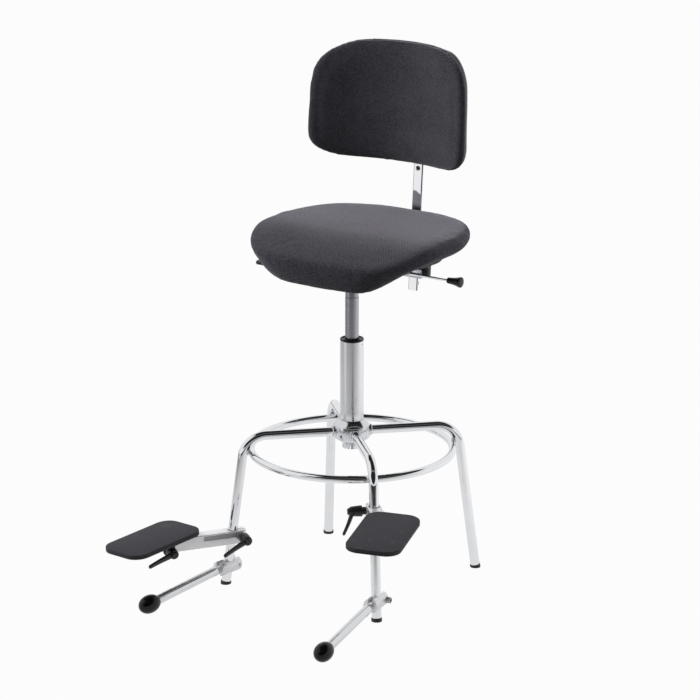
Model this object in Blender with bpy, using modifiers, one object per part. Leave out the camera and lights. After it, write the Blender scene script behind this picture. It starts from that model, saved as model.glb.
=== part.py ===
"""A high stool for a double bass player: four splayed chromed legs round a gas-lift column, a swivel seat
with a leaning backrest, two clamp-on footrests and two ball-ended stabilisers on the front legs.

Metres, +Z up. The sitter faces -Y and the sitter's left is +X. All sizes are taken in a frame whose Z axis is the
column's axis, and one empty carries that frame so that the whole stool is centred over the origin.
"""

import math

import bmesh
import bpy
from mathutils import Matrix, Vector

for old in list(bpy.data.objects):
    bpy.data.objects.remove(old, do_unlink=True)

# Common sizes
gap = 0.0003  # between two pieces that touch
overrun = 0.002  # a cutter runs this far past the face it cuts
weld = 0.00001
merge_within = 0.00005
plan_centre = (0.0150, -0.0935)  # middle of the stool's plan, seen from the column's axis

# Legs
leg_radius = 0.010
leg_foot_reach = 0.2721  # column axis to the leg's centre line, at the floor
leg_splay = math.radians(7.73)
leg_level = 0.325  # centre line of the level run
leg_bend = 0.052
leg_bearings = {
    "front_right": math.radians(225),
    "front_left": math.radians(315),
    "back_left": math.radians(45),
    "back_right": math.radians(135),
}
cap_radius = 0.0112
cap_height = 0.0068
cap_floor = 0.0024
cap_sink = 0.003

# Hub
hub_radius = 0.038
hub_top_radius = 0.0255
hub_bottom_radius = 0.021
hub_over_boss = 0.0013  # the shoulder stands this far above the bosses
hub_cone = 0.012  # shoulder to top
hub_under_boss = 0.0003  # the skirt ends this far below the bosses
hub_taper = 0.011  # skirt to bottom
hub_floor = 0.010
hub_bore = 0.0223
boss_radius = 0.0127
boss_reach = 0.0415
boss_root = 0.030
socket_root = 0.0285
nut_radius = 0.020
nut_height = 0.0117
nut_bore = 0.0165
nut_skirt = 0.0075
nut_slot_width = 0.0025
nut_slot_height = 0.0065
nut_slots = 12

# Foot ring
ring_tube = 0.008
ring_rise = 0.014  # above the middle of the legs' bends

# Column and gas lift
column_radius = 0.025
column_top = 0.5235
column_bore = 0.0225
spigot_bore = 0.019
column_floor = 0.004
bush_flange = 0.004
bush_length = 0.0935  # below the column's top
lift_radius = 0.0144
lift_below = 0.1175  # the cylinder's foot below the column's top
lift_stroke_shown = 0.0895  # guide bush to the foot of the taper
lift_bore = 0.0103
lift_end_wall = 0.017  # the bore's end below the foot of the taper
taper_foot = 0.0141
taper_tip = 0.0130
taper_length = 0.055
rod_radius = 0.005
rod_below = 0.0235  # the rod's head below the column's top
rod_head = 0.010
rod_head_height = 0.010
rod_foot = 0.012
rod_foot_height = 0.004
button_radius = 0.004
button_rise = 0.004  # above the taper's tip
button_depth = 0.012  # into the taper's tip

# Seat mounting under the board
tube_half = 0.032
tube_height = 0.029
tube_over_button = 0.008
tube_wall = 0.003
tube_front = -0.031
tube_back = 0.160
flange_half = 0.080
flange_lip = 0.001  # the flange stands this far ahead of the tube
flange_short = 0.010  # and ends this far ahead of the tube's back
socket_radius = 0.018
socket_below = 0.015  # the socket's foot below the box tube
socket_over_tip = 0.0004
window_half = 0.0085
window_depth = 0.016  # the window's foot below the tube's top
ear_reach = 0.032  # behind the tube
ear_rise = 0.002
recline_behind = 0.020  # the backrest's hinge behind the tube
recline_drop = 0.015  # and below the tube's top
recline_pin = 0.004
recline_head = 0.007
recline_head_height = 0.003

# Seat board and cushion
board_lip = 0.001  # the board stands this far ahead of the flange
board_back_inset = 0.0465  # from the cushion's back
board_half = 0.145
board_corner = 0.095
board_thickness = 0.010
cushion_beside = 0.077  # how far the cushion stands past the board, at each side
cushion_ahead = 0.1065  # and in front
cushion_to_bar = 0.0021  # its back edge behind the front face of the backrest's bar, at the guide
cushion_front_corner = 0.122
cushion_back_corner = 0.172
cushion_height = 0.0667  # the crown above the board
cushion_dish = 0.006
cushion_widest_rise = 0.0417
cushion_edge_rise = 0.0182
cushion_top_fall = 0.028  # how far each level drops towards the front lip
cushion_widest_fall = 0.030
cushion_edge_fall = 0.067

# Lift paddle
paddle_half_width = 0.006
paddle_thickness = 0.004
paddle_inner = 0.005
paddle_knee = -0.038
paddle_elbow = -0.062
paddle_drop = 0.0205
paddle_tip = -0.236
grip_inner = -0.200
grip_outer = -0.242
grip_half_width = 0.012
grip_thickness = 0.0075

# Backrest bar, its bracket and its clamp
bar_lean = math.radians(4.0)
bar_half_width = 0.0118
bar_thickness = 0.006
bar_behind = 0.0544  # front face of the bar at the guide, behind the hinge
bar_drop = 0.053  # the guide below the hinge
bar_below = 0.036
bar_past_pivot = 0.022
bar_hole = 0.0025
bar_hole_drop = 0.121  # below the backrest's pivot
bracket_half = 0.0335
bracket_sheet = 0.003
bracket_below = 0.002
bracket_above = 0.062
bracket_flange = 0.0087
cheek_inner = 0.0323
cheek_drop = 0.039  # the cheeks' lower corner below the hinge
cheek_nose = 0.011
guide_half = 0.022
guide_front = 0.0035
guide_below = 0.008
guide_above = 0.012
stop_height = -0.022
stop_head = 0.0065
stop_head_length = 0.010
stop_shaft = 0.003
lever_rod = 0.003
lever_boss = 0.007
lever_boss_length = 0.006
lever_pivot_x = -0.010
lever_reach = 0.104
knob_inner = 0.092
knob_outer = 0.126
knob_small = 0.0065
knob_large = 0.0115
lever_pin = 0.0025
lever_pin_head = 0.005
lever_pin_head_length = 0.0025

# Backrest
pivot_height = 0.350  # above the guide, along the bar
pivot_pin = 0.0018
pivot_head = 0.004
pivot_head_length = 0.002
block_half = 0.024
block_front = 0.0405
block_back = 0.010
block_below = 0.035
block_above = 0.030
block_relief = 0.0075
shell_thickness = 0.004
pad_half_width = 0.1918
pad_half_height = 0.1285
pad_rise = 0.0301  # the pad's middle above the hinge block's
pad_top_corner = 0.072
pad_bottom_corner = 0.0545
pad_top_arch = 0.015
pad_bottom_arch = -0.002
pad_thickness = 0.043
pad_crown = 0.008
pad_bow = 0.0725
pad_lean = math.radians(2.8)

# Footrest arms
arm_half = 0.014
arm_back = 0.029
arm_nose = 0.146  # centre of the rounded outer end
arm_back_round = 0.009
sleeve_wall = 0.001
sleeve_length = 0.026
slit_half = 0.0015
clamp_back = 0.019  # leg axis to the clamping stud
stud_radius = 0.004
stud_depth = 0.0105
pocket_inner = -0.008
pocket_outer = 0.068
pocket_low = 0.001
pocket_high = 0.011
pocket_depth = 0.0014
tilt_drop = 0.006  # tilt axis below the middle of the arm
plate_long = 0.200
plate_wide = 0.112
plate_corner = 0.031
plate_steel = 0.003
plate_rubber = 0.0065
plate_rise = 0.0241  # underside of the steel above the tilt axis
plate_forward = 0.0345
plate_inward = 0.0168
plate_yaw = math.radians(26.5)
plate_edge = 0.0018
lug_thickness = 0.004
lug_half = 0.013
lug_below = 0.012

# Clamping levers
hub_collar = 0.008
hub_collar_length = 0.008
hub_wide = 0.0115
hub_narrow = 0.0095
hub_body_end = 0.033
hub_button = 0.007
hub_length = 0.038
hub_socket_depth = 0.015
handle_root = 0.027
handle_length = 0.0715
handle_root_radius = 0.0068
handle_tip_radius = 0.0044
handle_rise = math.radians(24.5)
handle_flat_share = 0.72

# Stabilisers
clamp_radius = 0.016
clamp_rear = 0.027
clamp_front = 0.030
clamp_height = 0.040
clamp_slot_half = 0.005
fork_root = 0.0143
fork_pivot = 0.0225
tongue_half = 0.0047
tongue_round = 0.0078
stay_radius = 0.010
stay_start = 0.0125
pivot_radius = 0.003
screw_radius = 0.004
screw_back = 0.019
screw_head = 0.0065
screw_head_length = 0.008
screw_socket = 0.0034
screw_socket_depth = 0.004
ball_radius = 0.0191
ball_nose = 0.0255
ball_tail = 0.0273
ball_collar = 0.0128
ball_collar_length = 0.001
ball_grip = 0.004

# Each side's own settings: where the clamps stand and which way they point.
sides = {
    "right": {
        "sign": 1.0,
        "leg": "front_right",
        "arm_height": 0.106,
        "arm_heading": math.radians(-33.5),
        "plate_tilt": math.radians(3.0),
        "clamp_lever": math.radians(-15.0),
        "tilt_lever": math.radians(-9.0),
        "stay_heading": math.radians(-7.8),
        "stay_length": 0.2332,
    },
    "left": {
        "sign": -1.0,
        "leg": "front_left",
        "arm_height": 0.2232,
        "arm_heading": math.radians(44.5),
        "plate_tilt": math.radians(3.0),
        "clamp_lever": math.radians(-26.0),
        "tilt_lever": math.radians(6.0),
        "stay_heading": math.radians(8.6),
        "stay_length": 0.2456,
    },
}

# Colour, roughness and metallic value of each finish
chrome = ((0.82, 0.82, 0.83), 0.08, 1.0)
steel = ((0.62, 0.62, 0.63), 0.30, 1.0)
cast = ((0.78, 0.78, 0.79), 0.35, 1.0)
dark_steel = ((0.06, 0.06, 0.065), 0.45, 0.3)
zinc = ((0.70, 0.70, 0.70), 0.30, 1.0)
black_plastic = ((0.02, 0.02, 0.02), 0.40, 0.0)
rubber = ((0.05, 0.05, 0.055), 0.75, 0.0)
shell_grey = ((0.55, 0.55, 0.56), 0.45, 0.0)
plywood = ((0.045, 0.040, 0.036), 0.60, 0.0)
seat_cloth = ((0.060, 0.060, 0.070), 0.90, 0.0)
back_cloth = ((0.045, 0.045, 0.050), 0.90, 0.0)

fine_steps = 28
round_steps = 20
small_steps = 12

parts = bpy.data.collections.new("double_bass_stool")
cutters = bpy.data.collections.new("cutters")
bpy.context.scene.collection.children.link(parts)
bpy.context.scene.collection.children.link(cutters)
stands = {}  # each empty's place in the column's frame


def turn_x(angle):
    return Matrix.Rotation(angle, 4, "X")


def turn_y(angle):
    return Matrix.Rotation(angle, 4, "Y")


def turn_z(angle):
    return Matrix.Rotation(angle, 4, "Z")


def shift(x, y, z):
    return Matrix.Translation((x, y, z))


def group(name, parent, place):
    """An empty at a joint's axis, or one that only carries a frame."""
    empty = bpy.data.objects.new(name, None)
    parts.objects.link(empty)
    if parent is None:
        empty.matrix_basis = place
        stands[empty] = Matrix.Identity(4)
    else:
        empty.parent = parent
        empty.matrix_basis = stands[parent].inverted() @ place
        stands[empty] = place
    return empty


def give_finish(obj, finish):
    colour, roughness, metallic = finish
    material = bpy.data.materials.new(obj.name)
    material.use_nodes = True
    shader = material.node_tree.nodes["Principled BSDF"]
    shader.inputs["Base Color"].default_value = (*colour, 1.0)
    shader.inputs["Roughness"].default_value = roughness
    shader.inputs["Metallic"].default_value = metallic
    material.diffuse_color = (*colour, 1.0)
    obj.data.materials.append(material)


def add(obj, parent, place, finish=None):
    """Puts an object in its place in the column's frame. One without a finish is a cutter."""
    (cutters if finish is None else parts).objects.link(obj)
    obj.parent = parent
    obj.matrix_basis = stands[parent].inverted() @ place
    if finish is None:
        obj.hide_render = True
        obj.display_type = "WIRE"
    else:
        give_finish(obj, finish)
    return obj


def mesh_object(name, bm):
    mesh = bpy.data.meshes.new(name)
    bm.to_mesh(mesh)
    bm.free()
    mesh.shade_smooth()
    mesh.set_sharp_from_angle(angle=math.radians(30))
    return bpy.data.objects.new(name, mesh)


def box(low, high):
    """A box between two corners."""
    bm = bmesh.new()
    middle = [(a + b) / 2 for a, b in zip(low, high)]
    size = [abs(b - a) for a, b in zip(low, high)]
    bmesh.ops.create_cube(bm, size=1.0, matrix=shift(*middle) @ Matrix.Diagonal((*size, 1.0)))
    return bm


def rod(radius, start, end, steps=round_steps, end_radius=None):
    """A cylinder or cone along Z."""
    bm = bmesh.new()
    bmesh.ops.create_cone(
        bm,
        cap_ends=True,
        cap_tris=False,
        segments=steps,
        radius1=radius,
        radius2=radius if end_radius is None else end_radius,
        depth=end - start,
        matrix=shift(0, 0, (start + end) / 2),
    )
    return bm


def round_edges(bm, chosen, width, segments):
    edges = [edge for edge in bm.edges if chosen((edge.verts[0].co + edge.verts[1].co) / 2, edge)]
    bmesh.ops.bevel(bm, geom=edges, offset=width, segments=segments, affect="EDGES", profile=0.5)
    return bm


def along(edge, axis):
    """Whether an edge runs along one axis."""
    run = (edge.verts[1].co - edge.verts[0].co).normalized()
    return abs(run[axis]) > 0.99


def turned(name, profile, hollow=False, steps=round_steps):
    """A profile of (radius, height) turned round Z. It runs down the outer side."""
    bm = bmesh.new()
    points = [bm.verts.new((radius, 0, height)) for radius, height in profile]
    for first, second in zip(points, points[1:]):
        bm.edges.new((first, second))
    if hollow:
        bm.edges.new((points[-1], points[0]))
    mesh = bpy.data.meshes.new(name)
    bm.to_mesh(mesh)
    bm.free()
    obj = bpy.data.objects.new(name, mesh)
    screw = obj.modifiers.new("Turn", "SCREW")
    screw.axis = "Z"
    screw.steps = steps
    screw.render_steps = steps
    screw.use_smooth_shade = True
    screw.use_merge_vertices = True
    screw.merge_threshold = merge_within
    return obj


def from_curve(name, curve):
    """The welded mesh of a curve, as an object."""
    guide = bpy.data.objects.new(name, curve)
    cutters.objects.link(guide)
    graph = bpy.context.evaluated_depsgraph_get()
    mesh = bpy.data.meshes.new_from_object(guide.evaluated_get(graph))
    bpy.data.objects.remove(guide, do_unlink=True)
    bm = bmesh.new()
    bm.from_mesh(mesh)
    bmesh.ops.remove_doubles(bm, verts=bm.verts, dist=weld)
    bmesh.ops.recalc_face_normals(bm, faces=bm.faces)
    return bm


def tube_curve(name, points, radius, resolution):
    curve = bpy.data.curves.new(name, "CURVE")
    curve.dimensions = "3D"
    curve.bevel_depth = radius
    curve.bevel_resolution = resolution
    curve.use_fill_caps = True
    spline = curve.splines.new("POLY")
    spline.points.add(len(points) - 1)
    for point, place in zip(spline.points, points):
        point.co = (*place, 1.0)
    return curve


def outline(name, points, thickness):
    """A flat closed outline in XY, its thickness centred on Z = 0."""
    curve = bpy.data.curves.new(name, "CURVE")
    curve.dimensions = "2D"
    curve.fill_mode = "BOTH"
    curve.extrude = thickness / 2
    spline = curve.splines.new("POLY")
    spline.use_cyclic_u = True
    spline.points.add(len(points) - 1)
    for point, (x, y) in zip(spline.points, points):
        point.co = (x, y, 0, 1.0)
    return from_curve(name, curve)


def arc(centre, radius, start, end, count):
    for step in range(count + 1):
        angle = math.radians(start + (end - start) * step / count)
        yield (centre[0] + radius * math.cos(angle), centre[1] + radius * math.sin(angle))


def rounded_rectangle(x0, x1, y0, y1, corner, count):
    points = []
    points += arc((x1 - corner, y1 - corner), corner, 0, 90, count)
    points += arc((x0 + corner, y1 - corner), corner, 90, 180, count)
    points += arc((x0 + corner, y0 + corner), corner, 180, 270, count)
    points += arc((x1 - corner, y0 + corner), corner, 270, 360, count)
    return points


def combine(target, other, operation):
    other.hide_render = True
    other.display_type = "WIRE"
    change = target.modifiers.new(operation.title(), "BOOLEAN")
    change.operation = operation
    change.object = other
    change.solver = "EXACT"


def cut(target, parent, place, bm, name):
    combine(target, add(mesh_object(name, bm), parent, place), "DIFFERENCE")


def join(target, parent, place, bm, name):
    combine(target, add(mesh_object(name, bm), parent, place), "UNION")


across = turn_x(math.radians(-90))  # takes +Z to +Y
along_x = turn_y(math.radians(90))  # takes +Z to +X

root = group("stool", None, shift(-plan_centre[0], -plan_centre[1], 0))
here = Matrix.Identity(4)

# Base: legs
leg_run = math.tan(leg_splay)
bend_turn = math.radians(90) - leg_splay
bend_tangent = leg_bend * math.tan(bend_turn / 2)
bend_reach = leg_foot_reach - leg_level * leg_run - bend_tangent
bend_height = leg_level - leg_bend
leg_end = cap_floor + gap


def leg_point(bearing, height):
    """A point on a leg's centre line below the bend."""
    reach = leg_foot_reach - height * leg_run
    return Vector((reach * math.cos(bearing), reach * math.sin(bearing), height))


def leg_frame(bearing, height):
    """Z up the leg, X outwards."""
    return Matrix.Translation(leg_point(bearing, height)) @ turn_z(bearing) @ turn_y(-leg_splay)


for leg, bearing in leg_bearings.items():
    path = [(socket_root + gap, 0, leg_level)]
    for x, z in arc((bend_reach, bend_height), leg_bend, 90, math.degrees(leg_splay), 9):
        path.append((x, 0, z))
    foot = leg_end * math.cos(leg_splay)
    path.append((leg_foot_reach - foot * leg_run, 0, foot))
    tube = mesh_object("leg_" + leg, from_curve("leg_" + leg, tube_curve("leg_" + leg, path, leg_radius, 4)))
    add(tube, root, turn_z(bearing), chrome)
    cup = [
        (0, cap_floor),
        (leg_radius + gap, cap_floor),
        (leg_radius + gap, cap_height),
        (cap_radius, cap_height),
        (cap_radius, -cap_sink),
        (0, -cap_sink),
    ]
    cap = turned("foot_cap_" + leg, cup, steps=round_steps)
    add(cap, root, leg_frame(bearing, 0), black_plastic)
    floor = box((-cap_radius - overrun, -cap_radius - overrun, -cap_sink - cap_radius),
                (cap_radius + overrun, cap_radius + overrun, 0))
    cut(cap, root, Matrix.Translation(leg_point(bearing, 0)), floor, "floor_" + leg)

# Base: hub, with a socket for each leg, and the slotted nut below it
hub_shoulder = leg_level + boss_radius + hub_over_boss
hub_top = hub_shoulder + hub_cone
hub_skirt = leg_level - boss_radius - hub_under_boss
hub_bottom = hub_skirt - hub_taper
hub_floor_top = hub_bottom + hub_floor
hub_profile = [
    (0, hub_floor_top),
    (hub_bore, hub_floor_top),
    (hub_bore, hub_top),
    (hub_top_radius, hub_top),
    (hub_radius, hub_shoulder),
    (hub_radius, hub_skirt),
    (hub_bottom_radius, hub_bottom),
    (0, hub_bottom),
]
hub = add(turned("hub", hub_profile, steps=fine_steps), root, here, cast)
for leg, bearing in leg_bearings.items():
    place = turn_z(bearing) @ shift(0, 0, leg_level) @ along_x
    join(hub, root, place, rod(boss_radius, boss_root, boss_reach), "boss_" + leg)
for leg, bearing in leg_bearings.items():
    place = turn_z(bearing) @ shift(0, 0, leg_level) @ along_x
    cut(hub, root, place, rod(leg_radius + gap, socket_root, boss_reach + overrun), "socket_" + leg)

nut_top = hub_bottom - gap
nut_bottom = nut_top - nut_height
nut_profile = [
    (0, nut_top),
    (nut_radius, nut_top),
    (nut_radius, nut_bottom),
    (nut_bore, nut_bottom),
    (nut_bore, nut_bottom + nut_skirt),
    (0, nut_bottom + nut_skirt),
]
nut = add(turned("hub_nut", nut_profile, steps=fine_steps), root, here, steel)
for slot in range(nut_slots):
    notch = box((nut_bore - overrun, -nut_slot_width / 2, nut_bottom - overrun),
                (nut_radius + overrun, nut_slot_width / 2, nut_bottom + nut_slot_height))
    cut(nut, root, turn_z(math.radians(360) * slot / nut_slots), notch, f"nut_slot_{slot}")

# Base: the foot ring touches the inner side of each leg's bend
ring_offset = leg_bend - leg_radius - ring_tube - gap
ring_height = bend_height + ring_rise
ring_radius = bend_reach + math.sqrt(ring_offset**2 - ring_rise**2)
bpy.ops.mesh.primitive_torus_add(
    major_radius=ring_radius, minor_radius=ring_tube, major_segments=60, minor_segments=10
)
ring = bpy.context.object
ring.name = "foot_ring"
for holder in list(ring.users_collection):
    holder.objects.unlink(ring)
ring.data.shade_smooth()
add(ring, root, shift(0, 0, ring_height), chrome)

# Base: column, guide bush and the lift's fixed rod
column_bottom = hub_floor_top + gap
column_profile = [
    (0, column_bottom + column_floor),
    (spigot_bore, column_bottom + column_floor),
    (spigot_bore, hub_top + column_floor),
    (column_bore, hub_top + column_floor),
    (column_bore, column_top),
    (column_radius, column_top),
    (column_radius, hub_top + gap),
    (hub_bore - gap, hub_top + gap),
    (hub_bore - gap, column_bottom),
    (0, column_bottom),
]
add(turned("column_tube", column_profile, steps=fine_steps), root, here, chrome)
bush_top = column_top + bush_flange
bush_bottom = column_top - bush_length
bush_profile = [
    (lift_radius + gap, bush_top),
    (column_radius, bush_top),
    (column_radius, column_top + gap),
    (column_bore - gap, column_top + gap),
    (column_bore - gap, bush_bottom),
    (lift_radius + gap, bush_bottom),
]
add(turned("column_bush", bush_profile, hollow=True, steps=fine_steps), root, here, black_plastic)
rod_top = column_top - rod_below
rod_bottom = column_bottom + column_floor + gap
rod_profile = [
    (0, rod_top),
    (rod_head, rod_top),
    (rod_head, rod_top - rod_head_height),
    (rod_radius, rod_top - rod_head_height),
    (rod_radius, rod_bottom + rod_foot_height),
    (rod_foot, rod_bottom + rod_foot_height),
    (rod_foot, rod_bottom),
    (0, rod_bottom),
]
add(turned("lift_rod", rod_profile, steps=small_steps), root, here, steel)

# Gas lift: the sliding cylinder with its taper, and the release button in its tip
lift_bottom = column_top - lift_below
lift_ring = bush_top + lift_stroke_shown
lift_bore_top = lift_ring - lift_end_wall
taper_top = lift_ring + taper_length
button_top = taper_top + button_rise
button_seat = taper_top - button_depth
lift = group("lift_slide", root, shift(0, 0, bush_top))
lift_profile = [
    (0, button_seat),
    (button_radius + gap, button_seat),
    (button_radius + gap, taper_top),
    (taper_tip, taper_top),
    (taper_foot, lift_ring),
    (lift_radius, lift_ring),
    (lift_radius, lift_bottom),
    (lift_bore, lift_bottom),
    (lift_bore, lift_bore_top),
    (0, lift_bore_top),
]
add(turned("lift_cylinder", lift_profile, steps=fine_steps), lift, here, steel)
button_profile = [
    (0, button_top),
    (button_radius, button_top),
    (button_radius, button_seat + gap + button_top - taper_top),
    (0, button_seat + gap + button_top - taper_top),
]
add(turned("lift_button", button_profile, steps=small_steps), lift, here, steel)

# Seat mounting: a box tube under a flange, with the tapered socket and two ears for the backrest's hinge
tube_top = button_top + tube_over_button
tube_bottom = tube_top - tube_height
socket_bottom = tube_bottom - socket_below
socket_top = taper_top + socket_over_tip
window_bottom = tube_top - window_depth
ear_back = tube_back + ear_reach
ear_bottom = tube_bottom + ear_rise
recline_y = tube_back + recline_behind
recline_z = tube_top - recline_drop
swivel = group("seat_swivel", lift, shift(0, 0, taper_top))
mount = add(
    mesh_object("seat_mount", box((-tube_half, tube_front, tube_bottom), (tube_half, tube_back, tube_top))),
    swivel,
    here,
    dark_steel,
)
inside = box((-tube_half + tube_wall, tube_front - overrun, tube_bottom + tube_wall),
             (tube_half - tube_wall, tube_back + overrun, tube_top - tube_wall))
cut(mount, swivel, here, inside, "mount_inside")
flange_top = tube_top + tube_wall
flange_front = tube_front - flange_lip
flange_back = tube_back - flange_short
flange = box((-flange_half, flange_front, tube_top - tube_wall / 2), (flange_half, flange_back, flange_top))
join(mount, swivel, here, flange, "mount_flange")
join(mount, swivel, here, rod(socket_radius, socket_bottom, socket_top), "mount_socket")


def taper_at(height):
    share = (height - lift_ring) / (taper_top - lift_ring)
    return taper_foot + (taper_tip - taper_foot) * share


low, high = socket_bottom - overrun, socket_top + overrun
bore = rod(taper_at(low) + gap, low, high, end_radius=taper_at(high) + gap)
cut(mount, swivel, here, bore, "mount_bore")
for side, sign in (("left", 1), ("right", -1)):
    ear = box((sign * (tube_half - tube_wall), tube_back - tube_wall, ear_bottom),
              (sign * tube_half, ear_back, tube_top - overrun))
    join(mount, swivel, here, ear, "mount_ear_" + side)
hinge = shift(0, recline_y, recline_z) @ along_x
cut(mount, swivel, here @ hinge, rod(recline_pin + gap, -bracket_half, bracket_half, small_steps), "mount_ear_holes")
window = box((-tube_half - overrun, -window_half, window_bottom),
             (-tube_half + tube_wall + overrun, window_half, tube_top - tube_wall - gap / 2))
cut(mount, swivel, here, window, "mount_window")

# The paddle that works the lift: a cranked strip through the mounting's right wall, and its plastic grip
paddle_axis_x = -tube_half + tube_wall / 2
paddle_level = button_top + gap + paddle_thickness / 2
paddle = group("paddle_hinge", swivel, shift(paddle_axis_x, 0, (window_bottom + tube_top - tube_wall) / 2))
half = paddle_thickness / 2
low_level = paddle_level - paddle_drop
strip_points = [
    (paddle_inner, paddle_level - half),
    (paddle_inner, paddle_level + half),
    (paddle_knee - half, paddle_level + half),
    (paddle_elbow - half, low_level + half),
    (paddle_tip, low_level + half),
    (paddle_tip, low_level - half),
    (paddle_elbow + half, low_level - half),
    (paddle_knee + half, paddle_level - half),
]
strip = outline("lift_paddle_arm", strip_points, 2 * paddle_half_width)
upright = Matrix(((1, 0, 0, 0), (0, 0, -1, 0), (0, 1, 0, 0), (0, 0, 0, 1)))  # takes XY to XZ
add(mesh_object("lift_paddle_arm", strip), paddle, upright, dark_steel)
grip = box((grip_outer, -grip_half_width, low_level - grip_thickness / 2),
           (grip_inner, grip_half_width, low_level + grip_thickness / 2))
round_edges(grip, lambda middle, edge: along(edge, 2), grip_thickness, 4)
round_edges(grip, lambda middle, edge: not along(edge, 2), grip_thickness / 4, 2)
grip = add(mesh_object("lift_paddle_grip", grip), paddle, here, black_plastic)
pocket = box((paddle_tip - gap, -paddle_half_width - gap, low_level - half - gap),
             (grip_inner + overrun, paddle_half_width + gap, low_level + half + gap))
cut(grip, paddle, here, pocket, "grip_pocket")

# Seat board and cushion
board_bottom = flange_top + gap
bar_foot_y = recline_y + bar_behind
cushion_back = bar_foot_y + cushion_to_bar
board_back = cushion_back - board_back_inset
board_front = flange_front - board_lip
cushion_front = board_front - cushion_ahead
cushion_half = board_half + cushion_beside
cushion_half_depth = (cushion_back - cushion_front) / 2
board_points = rounded_rectangle(-board_half, board_half, board_front, board_back, board_corner, 8)
board = outline("seat_board", board_points, board_thickness)
add(mesh_object("seat_board", board), swivel, shift(0, 0, board_bottom + board_thickness / 2), plywood)
board_top = board_bottom + board_thickness


def cage(name, across_cuts, deep_cuts, high_cuts):
    """A cube from -1 to 1, cut into a grid on each side."""
    bm = bmesh.new()
    bmesh.ops.create_cube(bm, size=2.0)
    for axis, cuts in ((0, across_cuts), (1, deep_cuts), (2, high_cuts)):
        edges = [edge for edge in bm.edges if along(edge, axis)]
        bmesh.ops.subdivide_edges(bm, edges=edges, cuts=cuts, use_grid_fill=True)
    return bm


def soft(obj):
    obj.data.shade_smooth()
    smooth = obj.modifiers.new("Soft", "SUBSURF")
    smooth.levels = 1
    smooth.render_levels = 1
    return obj


def blend(low_value, high_value, share):
    """Smoothly from one value to another as the share runs from 0 to 1."""
    share = max(0.0, min(1.0, share))
    return low_value + (high_value - low_value) * share * share * (3 - 2 * share)


def corner_run(share, straight_share, half_side, corner):
    """A side of a rounded rectangle: place along it and how far its corner falls back."""
    run = abs(share)
    if run <= straight_share:
        return share / straight_share * (half_side - corner), 0.0
    angle = math.radians(45) * (run - straight_share) / (1 - straight_share)
    return math.copysign(half_side - corner + corner * math.sin(angle), share), corner * (math.cos(angle) - 1)


def rounded(u, v, half_x, half_y, corner, share_x, share_y):
    """Carries a point of the square from -1 to 1 onto a rounded rectangle."""
    reach = max(abs(u), abs(v))
    if reach == 0:
        return 0.0, 0.0
    u, v = u / reach, v / reach
    if abs(u) >= abs(v):
        y, fall = corner_run(v, share_y, half_y, corner)
        x = math.copysign(half_x + fall, u)
    else:
        x, fall = corner_run(u, share_x, half_x, corner)
        y = math.copysign(half_y + fall, v)
    return reach * x, reach * y


# How far each level of the cushion is drawn in, from its underside to its top.
cushion_draw_share = {-4: 0.84, -2: 0.955, 0: 1.01, 2: 1.0, 4: 0.95}
cushion_straight_share = 0.4
lip_start_share = 0.66
underside_spread_share = 1.17
underside_spread_from_share = 0.7
underside_spread_to_share = 0.8
rim_share = 0.99
crown_level_share = 0.62
side_level_share = 0.32


def seat_shape(bm):
    """A rounded cushion: a crown with a slight dish, drawn-in sides and a front lip that rolls under."""
    middle = cushion_back - cushion_half_depth
    floor = board_top + gap
    cushion_top = board_top + cushion_height
    cushion_widest = board_top + cushion_widest_rise
    cushion_edge = board_top + cushion_edge_rise
    for vert in bm.verts:
        u, v, w = vert.co
        corner = cushion_back_corner if v > 0 else cushion_front_corner
        x, y = rounded(u, v, cushion_half, cushion_half_depth, corner, cushion_straight_share, cushion_straight_share)
        reach = max(abs(u), abs(v))
        fall = max(0.0, -y / cushion_half_depth) ** 3
        level = round(w * 4)
        top = cushion_top - cushion_top_fall * fall - cushion_dish * (1 - reach * reach)
        widest = cushion_widest - cushion_widest_fall * fall
        edge = cushion_edge - cushion_edge_fall * fall ** (5 / 3)
        if level == 4:
            z = top
        elif level == 2:
            z = widest + (top - widest) * crown_level_share
        elif level == 0:
            z = widest
        elif level == -2:
            z = edge + (widest - edge) * side_level_share
        else:
            z = edge if reach > rim_share else floor
            if reach < rim_share:
                z = floor - (floor - edge) * blend(0, 1, (reach - lip_start_share) / (1 - lip_start_share)) * (edge < floor)
        draw = cushion_draw_share[level]
        if level == -4 and underside_spread_from_share < reach < underside_spread_to_share:
            draw *= underside_spread_share
        vert.co = (x * draw, middle + y * draw, z)
    return bm


cushion = mesh_object("seat_cushion", seat_shape(cage("seat_cushion", 7, 7, 3)))
add(soft(cushion), swivel, here, seat_cloth)

# Hinge pin of the backrest's bracket, through the mounting's ears
pin_reach = cheek_inner + bracket_sheet + gap


def double_headed(name, reach, radius, head, head_length, steps=small_steps):
    profile = [
        (0, reach + head_length),
        (head, reach + head_length),
        (head, reach),
        (radius, reach),
        (radius, -reach),
        (head, -reach),
        (head, -reach - head_length),
        (0, -reach - head_length),
    ]
    return turned(name, profile, steps=steps)


pin = double_headed("recline_pin", pin_reach, recline_pin, recline_head, recline_head_height)
add(pin, swivel, hinge, steel)

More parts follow.
